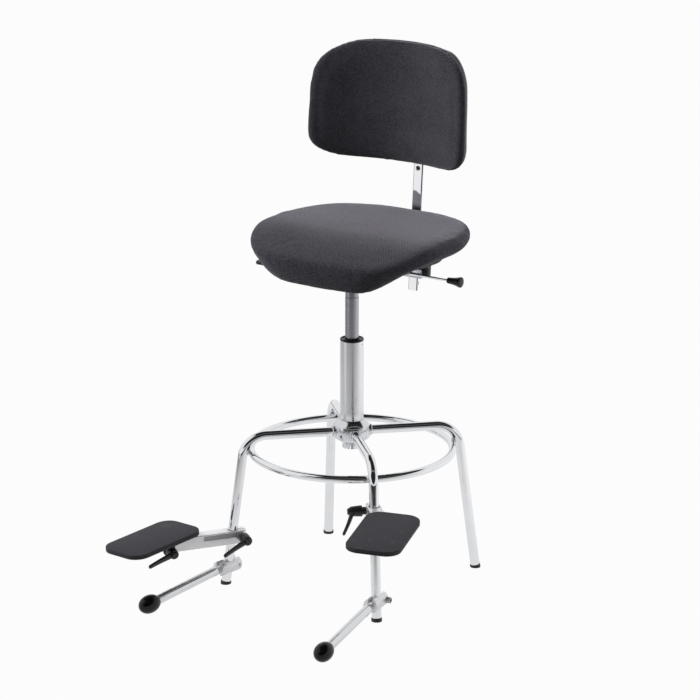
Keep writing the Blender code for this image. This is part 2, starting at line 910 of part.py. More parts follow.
# Backrest bracket: a flanged plate behind the bar, with two cheeks that run forward to the hinge
bar_foot_z = recline_z - bar_drop
bar_above = pivot_height + bar_past_pivot
bar_hole_height = pivot_height - bar_hole_drop
cheek_low = recline_z - cheek_drop
recline = group("recline_hinge", swivel, shift(0, recline_y, recline_z))
bar_frame = shift(0, bar_foot_y, bar_foot_z) @ turn_x(-bar_lean)
plate_face = bar_thickness + gap
bracket = box((-bracket_half, plate_face, -bracket_below), (bracket_half, plate_face + bracket_sheet, bracket_above))
bracket = add(mesh_object("back_bracket", bracket), recline, bar_frame, dark_steel)
for side, sign in (("left", 1), ("right", -1)):
    flange = box((sign * (bracket_half - bracket_sheet), plate_face + bracket_sheet / 2, -bracket_below),
                 (sign * bracket_half, plate_face + bracket_sheet + bracket_flange, bracket_above))
    join(bracket, recline, bar_frame, flange, "bracket_flange_" + side)
    back_y = bar_foot_y + plate_face + bracket_sheet
    cheek_points = list(arc((recline_y, recline_z), cheek_nose, 90, 230, 10))
    cheek_points += [(back_y, cheek_low), (back_y, recline_z + cheek_nose)]
    cheek = outline("bracket_cheek", cheek_points, bracket_sheet)
    sideways = Matrix(((0, 0, 1, 0), (1, 0, 0, 0), (0, 1, 0, 0), (0, 0, 0, 1)))  # takes XY to YZ
    place = shift(sign * (cheek_inner + bracket_sheet / 2), 0, 0) @ sideways
    join(bracket, recline, place, cheek, "bracket_cheek_" + side)
cut(bracket, recline, hinge, rod(recline_pin + gap, -pin_reach, pin_reach, small_steps), "bracket_holes")

# Guide that holds the bar against the bracket's plate
guide = box((-guide_half, -guide_front, -guide_below), (guide_half, bar_thickness, guide_above))
guide = add(mesh_object("bar_guide", guide), recline, bar_frame, zinc)
channel = box((-bar_half_width - gap, -gap, -guide_below - overrun),
              (bar_half_width + gap, bar_thickness + overrun, guide_above + overrun))
cut(guide, recline, bar_frame, channel, "guide_channel")
lever_place = bar_frame @ shift(lever_pivot_x, 0, 0)
boss_face = -guide_front - gap
cut(
    guide,
    recline,
    lever_place @ across,
    rod(lever_pin + gap, -guide_front - overrun, bar_thickness / 2, small_steps),
    "guide_pin_hole",
)
pin_profile = [
    (0, -gap - gap),
    (lever_pin, -gap - gap),
    (lever_pin, boss_face - lever_boss_length - gap),
    (lever_pin_head, boss_face - lever_boss_length - gap),
    (lever_pin_head, boss_face - lever_boss_length - gap - lever_pin_head_length),
    (0, boss_face - lever_boss_length - gap - lever_pin_head_length),
]
add(turned("bar_lever_pin", pin_profile, steps=small_steps), recline, lever_place @ across, zinc)

# Lever that frees the backrest: a rod on a flat boss, with a tapered knob
lever = group("bar_lever_hinge", recline, lever_place)
boss = rod(lever_boss, boss_face - lever_boss_length, boss_face, round_steps)
arm = add(mesh_object("bar_lever_rod", boss), lever, lever_place @ across, chrome)
rod_line = lever_place @ shift(0, boss_face - lever_boss_length / 2, 0) @ along_x
join(arm, lever, rod_line, rod(lever_rod, lever_boss / 2, lever_reach - lever_pivot_x, small_steps), "lever_rod_run")
cut(
    arm,
    lever,
    lever_place @ across,
    rod(lever_pin + gap, boss_face - lever_boss_length - overrun, boss_face + overrun, small_steps),
    "lever_boss_hole",
)
knob_start = knob_inner - lever_pivot_x
knob_end = knob_outer - lever_pivot_x
knob_round = knob_large / 4
knob_profile = [
    (0, knob_end),
    (knob_large - knob_round, knob_end),
    (knob_large, knob_end - knob_round),
    (knob_large, knob_end - 2 * knob_round),
    (knob_small + knob_round / 4, knob_start + knob_round),
    (knob_small, knob_start),
    (lever_rod + gap, knob_start),
    (lever_rod + gap, lever_reach - lever_pivot_x + gap),
    (0, lever_reach - lever_pivot_x + gap),
]
add(turned("bar_lever_knob", knob_profile, steps=round_steps), lever, rod_line, black_plastic)

# Backrest bar with its stop bolt and hinge pin
bar_slide = group("bar_slide", recline, bar_frame)
bar = box((-bar_half_width, 0, -bar_below), (bar_half_width, bar_thickness, bar_above))
round_edges(bar, lambda middle, edge: True, bar_thickness / 8, 2)
bar = add(mesh_object("back_bar", bar), bar_slide, bar_frame, chrome)
for name, height, radius in (
    ("bar_sight_hole", bar_hole_height, bar_hole),
    ("bar_stop_hole", stop_height, stop_shaft + gap),
):
    hole = rod(radius, -overrun, bar_thickness + overrun, small_steps)
    cut(bar, bar_slide, bar_frame @ shift(0, 0, height) @ across, hole, name)
pivot_place = bar_frame @ shift(0, bar_thickness / 2, pivot_height)
pivot_hole = rod(pivot_pin + gap, -block_half - overrun, block_half + overrun, small_steps)
cut(bar, bar_slide, pivot_place @ along_x, pivot_hole, "bar_pivot_hole")
stop_profile = [
    (0, bar_thickness + gap + stop_head_length),
    (stop_head, bar_thickness + gap + stop_head_length),
    (stop_head, bar_thickness + gap),
    (stop_shaft, bar_thickness + gap),
    (stop_shaft, gap),
    (0, gap),
]
stop_place = bar_frame @ shift(0, 0, stop_height) @ across
add(turned("bar_stop_bolt", stop_profile, steps=small_steps), bar_slide, stop_place, black_plastic)
pin = double_headed("back_pivot_pin", block_half + gap, pivot_pin, pivot_head, pivot_head_length)
add(pin, bar_slide, pivot_place @ along_x, steel)

# Backrest: hinge block, shell and pad, which tilt on the bar
back = group("back_tilt", bar_slide, pivot_place)
block_frame = Matrix.Translation(bar_frame @ Vector((0, 0, pivot_height))) @ turn_x(-pad_lean)
block = box((-block_half, -block_front, -block_below), (block_half, block_back, block_above))
round_edges(block, lambda middle, edge: along(edge, 2) and middle.y > 0, block_back / 2, 3)
block = add(mesh_object("back_hinge_block", block), back, block_frame, black_plastic)
channel = box((-bar_half_width - gap, -block_relief, -block_below - overrun),
              (bar_half_width + gap, block_back + overrun, block_above + overrun))
cut(block, back, block_frame, channel, "block_channel")
pivot_hole = rod(pivot_pin + gap, -block_half - overrun, block_half + overrun, small_steps)
cut(block, back, pivot_place @ along_x, pivot_hole, "block_pivot_hole")

pad_origin = block_frame @ Vector((0, -block_front - gap, 0))
back_frame = Matrix.Translation(pad_origin) @ turn_x(-pad_lean)
side_straight_share = 0.55
top_straight_share = 0.75
top_narrow_share = 0.055
bottom_wide_share = 0.05
shell_draw_share = 0.945
pad_draw_share = {-3: 0.965, -1: 1.005, 1: 1.005, 3: 0.95}


def back_outline(u, v, draw):
    """A point of the backrest's face, across and up: a big radius at the top corners, a smaller one below."""
    corner = pad_top_corner if v > 0 else pad_bottom_corner
    x, z = rounded(u, v, pad_half_width, pad_half_height, corner, top_straight_share, side_straight_share)
    climb = z / pad_half_height
    x *= 1 - top_narrow_share * climb**1.5 if climb > 0 else 1 + bottom_wide_share * climb**2
    arch = pad_top_arch if climb > 0 else pad_bottom_arch
    z -= arch * (x / pad_half_width) ** 2 * abs(climb)
    return x * draw, pad_rise + z * draw


def bowed(x):
    return -pad_bow * (x / pad_half_width) ** 2


def shell_shape(bm):
    for vert in bm.verts:
        u, w, v = vert.co
        x, z = back_outline(u, v, shell_draw_share)
        vert.co = (x, bowed(x) + (shell_thickness * (w - 1) / 2), z)
    return bm


def pad_shape(bm):
    """Crowned in front, flat against the shell, with drawn-in edges."""
    for vert in bm.verts:
        u, w, v = vert.co
        reach = max(abs(u), abs(v))
        x, z = back_outline(u, v, pad_draw_share[round(w * 3)])
        forward = (1 - w) / 2
        depth = forward * (pad_thickness - pad_crown * reach**4)
        vert.co = (x, bowed(x) - shell_thickness - gap - depth, z)
    return bm


shell = mesh_object("back_shell", shell_shape(cage("back_shell", 9, 0, 7)))
add(shell, back, back_frame, shell_grey)
pad = mesh_object("back_pad", pad_shape(cage("back_pad", 7, 2, 6)))
add(soft(pad), back, back_frame, back_cloth)


# Footrests and stabilisers
def clamping_lever(prefix, kind, parent, face, angle, depth):
    """A plastic clamping lever and its stud. The face frame has Z out of the arm's side and X outwards along it."""
    hinge_place = face @ turn_z(angle)
    turn = group(f"{prefix}_{kind}_turn", parent, hinge_place)
    hub_points = [
        (0, hub_length),
        (hub_button, hub_length),
        (hub_button, hub_body_end),
        (hub_narrow, hub_body_end),
        (hub_wide, hub_collar_length + gap),
        (hub_wide, hub_collar_length),
        (hub_collar, hub_collar_length),
        (hub_collar, gap),
        (stud_radius + gap, gap),
        (stud_radius + gap, hub_socket_depth),
        (0, hub_socket_depth),
    ]
    knob = add(turned(f"{prefix}_{kind}_lever", hub_points, steps=round_steps), turn, hinge_place, black_plastic)
    handle = rod(handle_root_radius, hub_wide / 2, handle_length, small_steps, handle_tip_radius)
    round_edges(handle, lambda middle, edge: middle.z > handle_length - gap, handle_tip_radius / 3, 2)
    for vert in handle.verts:
        vert.co.x *= handle_flat_share
    handle_place = hinge_place @ shift(0, 0, handle_root) @ turn_y(math.radians(90) - handle_rise)
    join(knob, turn, handle_place, handle, f"{prefix}_{kind}_handle")
    stud_points = [
        (0, hub_socket_depth - gap),
        (stud_radius, hub_socket_depth - gap),
        (stud_radius, -depth),
        (0, -depth),
    ]
    add(turned(f"{prefix}_{kind}_stud", stud_points, steps=small_steps), turn, hinge_place, steel)


def footrest(side, own):
    prefix = "footrest_" + side
    sign = own["sign"]
    bearing = leg_bearings[own["leg"]]
    height = own["arm_height"]
    leg_here = leg_frame(bearing, height)
    slide = group(prefix + "_slide", root, leg_here)
    sleeve_inner = leg_radius + gap
    sleeve_outer = sleeve_inner + sleeve_wall
    sleeve_points = [
        (sleeve_inner, sleeve_length / 2),
        (sleeve_outer, sleeve_length / 2),
        (sleeve_outer, -sleeve_length / 2),
        (sleeve_inner, -sleeve_length / 2),
    ]
    sleeve = turned(prefix + "_sleeve", sleeve_points, hollow=True, steps=round_steps)
    add(sleeve, slide, leg_here, black_plastic)

    # X runs out along the arm and Z up. The levers' side is +Y times the sign.
    swing = group(prefix + "_swing", slide, leg_here)
    frame = Matrix.Translation(leg_point(bearing, height)) @ turn_z(math.radians(-90) + own["arm_heading"])
    arm = box((-arm_back, -arm_half, -arm_half), (arm_nose + arm_half, arm_half, arm_half))
    round_edges(arm, lambda middle, edge: along(edge, 1) and middle.x > 0, arm_half - weld, 7)
    round_edges(arm, lambda middle, edge: along(edge, 2) and middle.x < 0, arm_back_round, 5)
    arm = add(mesh_object(prefix + "_arm", arm), swing, frame, cast)
    bore = rod(sleeve_outer + gap, -2 * arm_half, 2 * arm_half)
    cut(arm, swing, leg_here, bore, prefix + "_bore")
    slit = box((-arm_back - overrun, -slit_half, -arm_half - overrun), (-leg_radius, slit_half, arm_half + overrun))
    cut(arm, swing, frame, slit, prefix + "_slit")
    outward = turn_x(math.radians(-90) * sign)
    for name, x, z in (("clamp", -clamp_back, 0), ("tilt", arm_nose, -tilt_drop)):
        hole = rod(stud_radius + gap, -stud_depth - gap, arm_half + overrun, small_steps)
        cut(arm, swing, frame @ shift(x, 0, z) @ outward, hole, f"{prefix}_{name}_hole")
    pocket = box((pocket_inner, sign * (arm_half - pocket_depth), pocket_low),
                 (pocket_outer, sign * (arm_half + overrun), pocket_high))
    cut(arm, swing, frame, pocket, prefix + "_pocket")

    # The foot plate with its two lugs tilts on the stud at the arm's end.
    tilt_axis = frame @ shift(arm_nose, 0, -tilt_drop)
    tilt_place = tilt_axis @ turn_y(own["plate_tilt"])
    tilt = group(prefix + "_tilt", swing, tilt_place)
    points = rounded_rectangle(-plate_long / 2, plate_long / 2, -plate_wide / 2, plate_wide / 2, plate_corner, 6)
    yawed = tilt_place @ shift(plate_forward, sign * plate_inward, 0) @ turn_z(sign * plate_yaw)
    plate = mesh_object(prefix + "_plate", outline(prefix + "_plate", points, plate_steel))
    add(plate, tilt, yawed @ shift(0, 0, plate_rise + plate_steel / 2), dark_steel)
    for name, at in (("inner", 1), ("outer", -1)):
        near = arm_half + gap
        lug = box((-lug_half, at * near, -lug_below), (lug_half, at * (near + lug_thickness), plate_rise + plate_steel / 2))
        round_edges(lug, lambda middle, edge: along(edge, 1) and middle.z < 0, lug_half / 2, 4)
        join(plate, tilt, tilt_place, lug, f"{prefix}_lug_{name}")
    lug_hole = rod(stud_radius + gap, -2 * arm_half, 2 * arm_half, small_steps)
    cut(plate, tilt, tilt_place @ across, lug_hole, prefix + "_lug_holes")
    mat = outline(prefix + "_mat", points, plate_rubber)
    round_edges(mat, lambda middle, edge: middle.z > plate_rubber / 2 - gap, plate_edge, 2)
    mat = mesh_object(prefix + "_mat", mat)
    add(mat, tilt, yawed @ shift(0, 0, plate_rise + plate_steel + gap + plate_rubber / 2), rubber)

    # Lever frames: Z out of the arm's side, X out along the arm. The outer lever tilts with the plate.
    for kind, carrier, x, z, reach, angle in (
        ("clamp", swing, -clamp_back, 0, arm_half, own["clamp_lever"]),
        ("tilt", tilt, arm_nose, -tilt_drop, arm_half + gap + lug_thickness, own["tilt_lever"]),
    ):
        face = frame @ shift(x, sign * reach, z) @ outward
        clamping_lever(prefix, kind, carrier, face, -sign * angle, reach + stud_depth)


def stabiliser(side, own):
    prefix = "stabiliser_" + side
    sign = own["sign"]
    bearing = leg_bearings[own["leg"]]
    leg_here = leg_frame(bearing, clamp_height)
    swing = group(prefix + "_swing", root, leg_here)
    frame = Matrix.Translation(leg_point(bearing, clamp_height)) @ turn_z(math.radians(-90) + own["stay_heading"])
    clamp = rod(clamp_radius, -clamp_rear, clamp_front, fine_steps)
    round_edges(clamp, lambda middle, edge: abs(edge.verts[0].co.z - edge.verts[1].co.z) < weld, pivot_radius / 2, 1)
    clamp = add(mesh_object(prefix + "_clamp", clamp), swing, frame @ along_x, cast)
    cut(clamp, swing, leg_here, rod(leg_radius + gap, -2 * clamp_radius, 2 * clamp_radius), prefix + "_bore")
    rear = box((-clamp_rear - overrun, -clamp_slot_half, -2 * clamp_radius), (0, clamp_slot_half, 2 * clamp_radius))
    cut(clamp, swing, frame, rear, prefix + "_rear_slot")
    fork = box((fork_root, -clamp_slot_half, -2 * clamp_radius),
               (clamp_front + overrun, clamp_slot_half, 2 * clamp_radius))
    cut(clamp, swing, frame, fork, prefix + "_fork_slot")
    for name, x, radius in (("screw", -screw_back, screw_radius), ("pivot", fork_pivot, pivot_radius)):
        hole = rod(radius + gap, -2 * clamp_radius, 2 * clamp_radius, small_steps)
        cut(clamp, swing, frame @ shift(x, 0, 0) @ across, hole, f"{prefix}_{name}_hole")
    head_face = clamp_radius + gap
    screw_points = [
        (0, head_face + screw_head_length),
        (screw_head, head_face + screw_head_length),
        (screw_head, head_face),
        (screw_radius, head_face),
        (screw_radius, -clamp_radius),
        (0, -clamp_radius),
    ]
    screw_place = frame @ shift(-screw_back, 0, 0) @ turn_x(math.radians(90) * sign)
    screw = add(turned(prefix + "_screw", screw_points, steps=small_steps), swing, screw_place, steel)
    key = rod(screw_socket, head_face + screw_head_length - screw_socket_depth, head_face + screw_head_length + overrun, 6)
    cut(screw, swing, screw_place, key, prefix + "_key")
    pin = mesh_object(prefix + "_pin", rod(pivot_radius, -clamp_radius + gap, clamp_radius - gap, small_steps))
    add(pin, swing, frame @ shift(fork_pivot, 0, 0) @ across, steel)

    # The stay hangs in the fork and slopes down to its ball, which rests on the floor.
    reach = own["stay_length"] - fork_pivot
    slope = math.atan2(clamp_height - ball_radius, reach)
    rest = math.hypot(ball_radius * math.cos(slope), ball_nose * math.sin(slope))
    slope = math.atan2(clamp_height - rest, reach)
    length = math.hypot(clamp_height - rest, reach)
    stay_place = frame @ shift(fork_pivot, 0, 0) @ turn_y(slope)
    lift_hinge = group(prefix + "_lift", swing, stay_place)
    stay = mesh_object(prefix + "_stay", rod(stay_radius, stay_start, length + ball_grip, round_steps))
    add(stay, lift_hinge, stay_place @ along_x, chrome)
    tongue_points = list(arc((0, 0), tongue_round, 90, 270, 10))
    tongue_points += [(stay_start + tongue_round, -tongue_round), (stay_start + tongue_round, tongue_round)]
    tongue = outline(prefix + "_tongue", tongue_points, 2 * tongue_half)
    join(stay, lift_hinge, stay_place @ upright, tongue, prefix + "_tongue")
    hole = rod(pivot_radius + gap, -2 * tongue_half, 2 * tongue_half, small_steps)
    cut(stay, lift_hinge, stay_place @ across, hole, prefix + "_tongue_hole")
    neck = ball_tail * math.sqrt(1 - (ball_collar / ball_radius) ** 2)
    ball_points = []
    for x, z in arc((0, 0), ball_radius, 90, -math.degrees(math.acos(ball_collar / ball_radius)), 10):
        stretch = (ball_nose if z > 0 else ball_tail) / ball_radius
        ball_points.append((x if x > weld else 0, z * stretch))
    ball_points += [
        (ball_collar, -neck - ball_collar_length),
        (stay_radius + gap, -neck - ball_collar_length),
        (stay_radius + gap, ball_grip + gap),
        (0, ball_grip + gap),
    ]
    ball = turned(prefix + "_ball", ball_points, steps=round_steps)
    add(ball, lift_hinge, stay_place @ shift(length, 0, 0) @ along_x, black_plastic)


for side, own in sides.items():
    footrest(side, own)
    stabiliser(side, own)
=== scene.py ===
"""A double bass player's stool, dressed over its frame: chromed legs and ring, gas lift, cloth seat and backrest,
two footrests with clamping levers and two ball-ended stabilisers."""
import math

import bmesh
import bpy
import numpy as np
from mathutils import Matrix, Vector, noise


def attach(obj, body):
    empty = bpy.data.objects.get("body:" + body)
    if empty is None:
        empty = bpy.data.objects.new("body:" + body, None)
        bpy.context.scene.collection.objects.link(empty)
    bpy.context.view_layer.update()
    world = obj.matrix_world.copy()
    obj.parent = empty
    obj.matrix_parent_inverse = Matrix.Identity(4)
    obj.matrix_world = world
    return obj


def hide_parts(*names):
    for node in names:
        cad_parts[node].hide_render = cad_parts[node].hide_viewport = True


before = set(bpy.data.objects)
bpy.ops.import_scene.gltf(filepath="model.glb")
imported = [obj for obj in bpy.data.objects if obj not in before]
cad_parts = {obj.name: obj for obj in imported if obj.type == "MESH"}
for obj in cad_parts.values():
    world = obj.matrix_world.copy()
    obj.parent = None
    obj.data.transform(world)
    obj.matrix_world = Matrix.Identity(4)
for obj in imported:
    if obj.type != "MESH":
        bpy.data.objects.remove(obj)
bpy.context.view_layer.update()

scene = bpy.context.scene
millimetre = 0.001
gap = 0.3 * millimetre
same_place = 0.002 * millimetre
quarter_turn = 0.25  # as a share of a full turn
rib_spacing = 4.2  # of the cloth's twill, in millimetres
as_is = Matrix.Identity(4)


def shift(x, y, z):
    return Matrix.Translation((x, y, z))


def turn_x(degrees):
    return Matrix.Rotation(math.radians(degrees), 4, "X")


def turn_y(degrees):
    return Matrix.Rotation(math.radians(degrees), 4, "Y")


def turn_z(degrees):
    return Matrix.Rotation(math.radians(degrees), 4, "Z")


# The column's frame: Z runs up the column, the sitter faces -Y and the sitter's left is +X.
column = shift(-0.0150, 0.0935, 0)
along_x = turn_y(90)  # takes +Z to +X
across = turn_x(-90)  # takes +Z to +Y
upright = turn_x(90)  # takes a flat outline's XY to XZ
sideways = Matrix(((0, 0, 1, 0), (1, 0, 0, 0), (0, 1, 0, 0), (0, 0, 0, 1)))  # takes XY to YZ
mirrored_y = Matrix.Diagonal((1, -1, 1, 1))


# ---------------------------------------------------------------- materials
def paint(code):
    """An sRGB hex colour as linear red, green, blue and alpha."""
    shares = [int(code[at:at + 2], 16) / 255 for at in (1, 3, 5)]
    return (*(c / 12.92 if c <= 0.04045 else ((c + 0.055) / 1.055) ** 2.4 for c in shares), 1.0)


def node(tree, kind, inputs=(), **settings):
    """Adds a node. Its settings go by name, and each input is linked from a socket or set to a value."""
    made = tree.nodes.new(kind)
    for name, value in settings.items():
        setattr(made, name, value)
    for name, value in dict(inputs).items():
        if isinstance(value, bpy.types.NodeSocket):
            tree.links.new(value, made.inputs[name])
        else:
            made.inputs[name].default_value = value
    return made


def emptied(owner):
    """The node tree of a material or a world, with nothing in it."""
    owner.use_nodes = True
    owner.node_tree.nodes.clear()
    return owner.node_tree


def per_metre(millimetres):
    """A texture's scale for a pattern that repeats at this spacing."""
    return 1000 / millimetres


def waves(where, millimetres, **more):
    """Bands at this spacing: the texture runs through 20 radians a unit."""
    direction = more.pop("direction", "X")
    inputs = {"Vector": where, "Scale": math.tau / 20 * per_metre(millimetres), **more}
    return node(where.id_data, "ShaderNodeTexWave", inputs, bands_direction=direction).outputs


def cloudy(where, millimetres, detail, **more):
    """Noise with lumps of about this size."""
    inputs = {"Vector": where, "Scale": per_metre(millimetres), "Detail": detail, **more}
    return node(where.id_data, "ShaderNodeTexNoise", inputs).outputs[0]


def turned(where, **settings):
    """Coordinates stretched by a Scale or turned by a Rotation."""
    return node(where.id_data, "ShaderNodeMapping", {"Vector": where, **settings}).outputs[0]


def ranged(value, start, end, low=0.0, high=1.0):
    """A value's run from start to end, turned into one from low to high and level beyond."""
    inputs = {"Value": value, "From Min": start, "From Max": end, "To Min": low, "To Max": high}
    return node(value.id_data, "ShaderNodeMapRange", inputs).outputs[0]


def mixed(share, first, second):
    """A colour that goes from the first to the second as the share rises. A string is a hex colour."""
    first, second = (paint(tone) if isinstance(tone, str) else tone for tone in (first, second))
    inputs = {"Factor": share, "A": first, "B": second}
    return node(share.id_data, "ShaderNodeMix", inputs, data_type="RGBA").outputs["Result"]


def embossed(height, strength, millimetres):
    """Fine relief from a height."""
    inputs = {"Height": height, "Strength": strength, "Distance": millimetres * millimetre}
    return node(height.id_data, "ShaderNodeBump", inputs).outputs[0]


def maths(kind, *values, **settings):
    """A sum over numbers, of which the first is a socket."""
    return node(values[0].id_data, "ShaderNodeMath", dict(enumerate(values)), operation=kind, **settings).outputs[0]


def vector_maths(kind, *values):
    """The same over vectors."""
    made = node(values[0].id_data, "ShaderNodeVectorMath", dict(enumerate(values)), operation=kind)
    return made.outputs["Value" if kind in ("DOT_PRODUCT", "LENGTH") else "Vector"]


def finish(name, recipe):
    """A material whose sockets a recipe works out from the object's own coordinates."""
    material = bpy.data.materials.new(name)
    tree = emptied(material)
    sockets = recipe(node(tree, "ShaderNodeTexCoord").outputs["Object"])
    shader = node(tree, "ShaderNodeBsdfPrincipled", sockets)
    node(tree, "ShaderNodeOutputMaterial", {"Surface": shader.outputs[0]})
    return material


def plated(name, haze, tones, swell, drawn=0.0, metal=1.0):
    """Polished metal: a mirror whose haze and tone drift over its surface, and whose long swells bend the lines
    that it reflects."""
    def recipe(where):
        cloud = cloudy(where, 34, 3.0)
        return {"Base Color": mixed(cloud, *tones), "Metallic": metal, "Roughness": ranged(cloud, 0, 1, *haze),
                "Normal": embossed(cloudy(where, 40, 0.0), 0.5, swell),
                "Anisotropic": drawn, "Anisotropic Rotation": quarter_turn}
    return finish(name, recipe)


def grained(name, grain, haze, tones, relief, cloud=None, stretch=(1.0, 1.0, 1.0), **more):
    """A plain skin: its grain, (size, detail), gives its relief, (strength, depth), and also its haze and tone,
    unless a slower cloud of its own does."""
    def recipe(where):
        fine = cloudy(turned(where, Scale=stretch), *grain)
        slow = cloudy(where, *cloud) if cloud else fine
        return {"Base Color": mixed(slow, *tones), "Roughness": ranged(slow, 0, 1, *haze),
                "Normal": embossed(fine, *relief), **more}
    return finish(name, recipe)


def phenolic_skin(where):
    """Moulded phenolic: deep black with a soft gloss and a few dull rubs."""
    rubs = cloudy(where, 16, 3.0)
    return {"Base Color": mixed(rubs, "#0b0b0d", "#141417"), "Roughness": ranged(rubs, 0.40, 0.70, 0.20, 0.32),
            "IOR": 1.45, "Specular IOR Level": 0.35}


def mat_skin(where):
    """Sheet rubber: charcoal, dull, with a fine grain and pale scuffs from shoes."""
    grain = cloudy(where, 1.5, 3.0)
    scuffs = ranged(cloudy(where, 45, 5.0, Distortion=1.6), 0.60, 0.72, 0.0, 0.5)
    return {"Base Color": mixed(scuffs, mixed(grain, "#37373b", "#434348"), "#56565b"), "Roughness": 0.82,
            "Normal": embossed(grain, 0.35, 0.15), "IOR": 1.52}


def shell_painted_reflection_skin(where):
    """Injection-moulded polypropylene: light warm grey, satin, with a fine leather stipple. The light grey is a
    painted reflection, standing for the bright grazing sheen along the shell's rim.
    """
    cells = node(where.id_data, "ShaderNodeTexVoronoi", {"Vector": where, "Scale": per_metre(1.8)}).outputs[0]
    return {"Base Color": mixed(cloudy(where, 60, 2.0), "#b9b9bc", "#c6c6c8"), "Roughness": 0.46,
            "Normal": embossed(cells, 0.25, 0.12), "IOR": 1.49}


def plywood_skin(where):
    """Moulded beech plywood under a black stain: the grain shows through as a faint brown, its plies as fine bands
    along the edge."""
    grain = cloudy(turned(where, Scale=(1.0, 0.07, 1.0)), 3, 5.0)
    plies = waves(where, 1.5, Distortion=0.4, direction="Z")[0]
    facing = node(where.id_data, "ShaderNodeNewGeometry").outputs["Normal"]
    upward = node(where.id_data, "ShaderNodeSeparateXYZ", {0: facing}).outputs[2]
    tone = mixed(maths("ABSOLUTE", upward), mixed(plies, "#1f1b18", "#453c34"), mixed(grain, "#27231f", "#3a332d"))
    return {"Base Color": tone, "Roughness": 0.62, "Normal": embossed(grain, 0.2, 0.15)}


def wool_cloth(name, thread, tones, fleck, relief):
    """Wool-blend upholstery cloth, twill woven: its fibres scatter light softly and turn paler where the surface
    turns away. The ribs run across the piece's own weave map. Ribs and fibre specks are drawn two to three times
    coarser than they are, so that they show from the photograph's distance."""
    def recipe(where):
        weave = node(where.id_data, "ShaderNodeUVMap", uv_map="weave").outputs[0]
        slant = turned(weave, Rotation=(0.0, 0.0, math.radians(52)))
        ribs = waves(slant, thread, Distortion=0.8, Detail=2.0, **{"Detail Scale": 3.0})[1]
        cross = waves(weave, thread * 0.8, Distortion=0.8, direction="Y")[1]
        threads = maths("ADD", ribs, cross)
        fuzz = cloudy(where, 5.0, 4.0, Roughness=0.75)
        body = mixed(ranged(fuzz, 0.40, 0.60), *tones)
        ribbed = mixed(ranged(threads, 0, 2.0, 0.0, 0.50), body, fleck)
        heather = ranged(cloudy(where, 70, 3.0), 0.35, 0.7, 0.0, 0.22)
        height = maths("MULTIPLY_ADD", threads, 0.5, fuzz)
        return {"Base Color": mixed(heather, ribbed, fleck), "Roughness": 0.93,
                "Normal": embossed(height, relief, 0.7), "Specular IOR Level": 0.25, "Sheen Weight": 0.9,
                "Sheen Roughness": 0.42, "Sheen Tint": paint("#a6a4ab")}
    return finish(name, recipe)


# The legs and ring are bright nickel-chrome over drawn tube, with crisp lines in them. The column is ground before
# plating and the stays are brushed, which blurs their reflections into soft bands. The hub is a buffed casting.
chrome = plated("bright_chrome", (0.02, 0.05), ("#f0f1f3", "#e6e7ea"), 0.03)
ground_chrome = plated("ground_chrome", (0.20, 0.26), ("#ececef", "#e2e3e7"), 0.03, drawn=0.9)
satin_chrome = plated("satin_chrome", (0.06, 0.09), ("#eeeff1", "#e4e5e8"), 0.03, metal=0.80)
buffed_alloy = plated("buffed_aluminium", (0.08, 0.18), ("#e4e5e8", "#d2d3d7"), 0.10)
# Ground and drawn steel of the lift cylinder, pins and studs: satin grey with fine rings round its axis that spread
# each highlight into an upright band.
steel = grained("ground_steel", (14, 3.0), (0.22, 0.36), ("#a3a3ab", "#b7b7be"), (0.12, 0.05),
                stretch=(1.0, 1.0, 30.0), Metallic=1.0, Anisotropic=0.4)
# Tumbled die-cast aluminium of the arms and clamps: pale, with a soft gloss, the fine pitting of the die and slow
# changes of tone over each face. The arms' recess is painted darker, as painted shade, and is rougher.
alloy = grained("die_cast_aluminium", (1.6, 3.0), (0.24, 0.40), ("#fdfdfe", "#f0f0f3"), (0.08, 0.06),
                cloud=(24, 2.0), Metallic=0.5)
recess_painted_shade = grained("die_cast_recess_painted_shade", (1.6, 4.0), (0.5, 0.5), ("#a2a2a7", "#b6b6bb"), (0.25, 0.08), Metallic=0.7)
# Black powder-coated steel of the seat's mounting, bracket and foot plates: near-black satin with orange peel.
coated = grained("black_powder_coat", (2.2, 2.0), (0.34, 0.50), ("#1d1d20", "#2a2a2e"), (0.35, 0.10))
# Bright zinc plating on the bar's guide: a cool metal with the faint bluish bloom of its passivation.
zinc = grained("bright_zinc_plate", (7, 3.0), (0.16, 0.32), ("#d8dce3", "#c4c6cb"), (0.10, 0.1), Metallic=1.0)
# Glass-filled nylon of the levers, sleeves and feet: matt black, with the spark-eroded grain of its mould.
nylon = grained("moulded_nylon", (1.1, 2.0), (0.38, 0.54), ("#18181b", "#232327"), (0.25, 0.08), IOR=1.53)
phenolic = finish("moulded_phenolic", phenolic_skin)
rubber = finish("sheet_rubber", mat_skin)
shell_grey = finish("moulded_polypropylene_painted_reflection", shell_painted_reflection_skin)
plywood = finish("black_stained_plywood", plywood_skin)
seat_wool = wool_cloth("seat_wool_twill", rib_spacing, ("#0b0a0c", "#403e45"), "#605e66", 0.7)
back_wool = wool_cloth("back_wool_twill", rib_spacing, ("#1f1e21", "#403e44"), "#5e5c64", 0.40)


# ---------------------------------------------------------------- shapes
longest_face = 16 * millimetre
parallel = 0.99  # the cosine beyond which an edge counts as running along an axis
crease_angle, edge_angle = 38, 40


def everything(bm):
    """All that a tool may cut or turn."""
    return bm.verts[:] + bm.edges[:] + bm.faces[:]


def verts_in(made):
    """The vertices among what a tool made."""
    return [item for item in made if isinstance(item, bmesh.types.BMVert)]


def arc(radius, start, end, step):
    """Points on a circle, by degrees."""
    turns = (math.radians(turn) for turn in range(start, end, step))
    return [(radius * math.cos(turn), radius * math.sin(turn)) for turn in turns]


def along(axis):
    """A test for the edges that run along an axis, 0 to 2."""
    return lambda middle, run: abs(run[axis]) > parallel


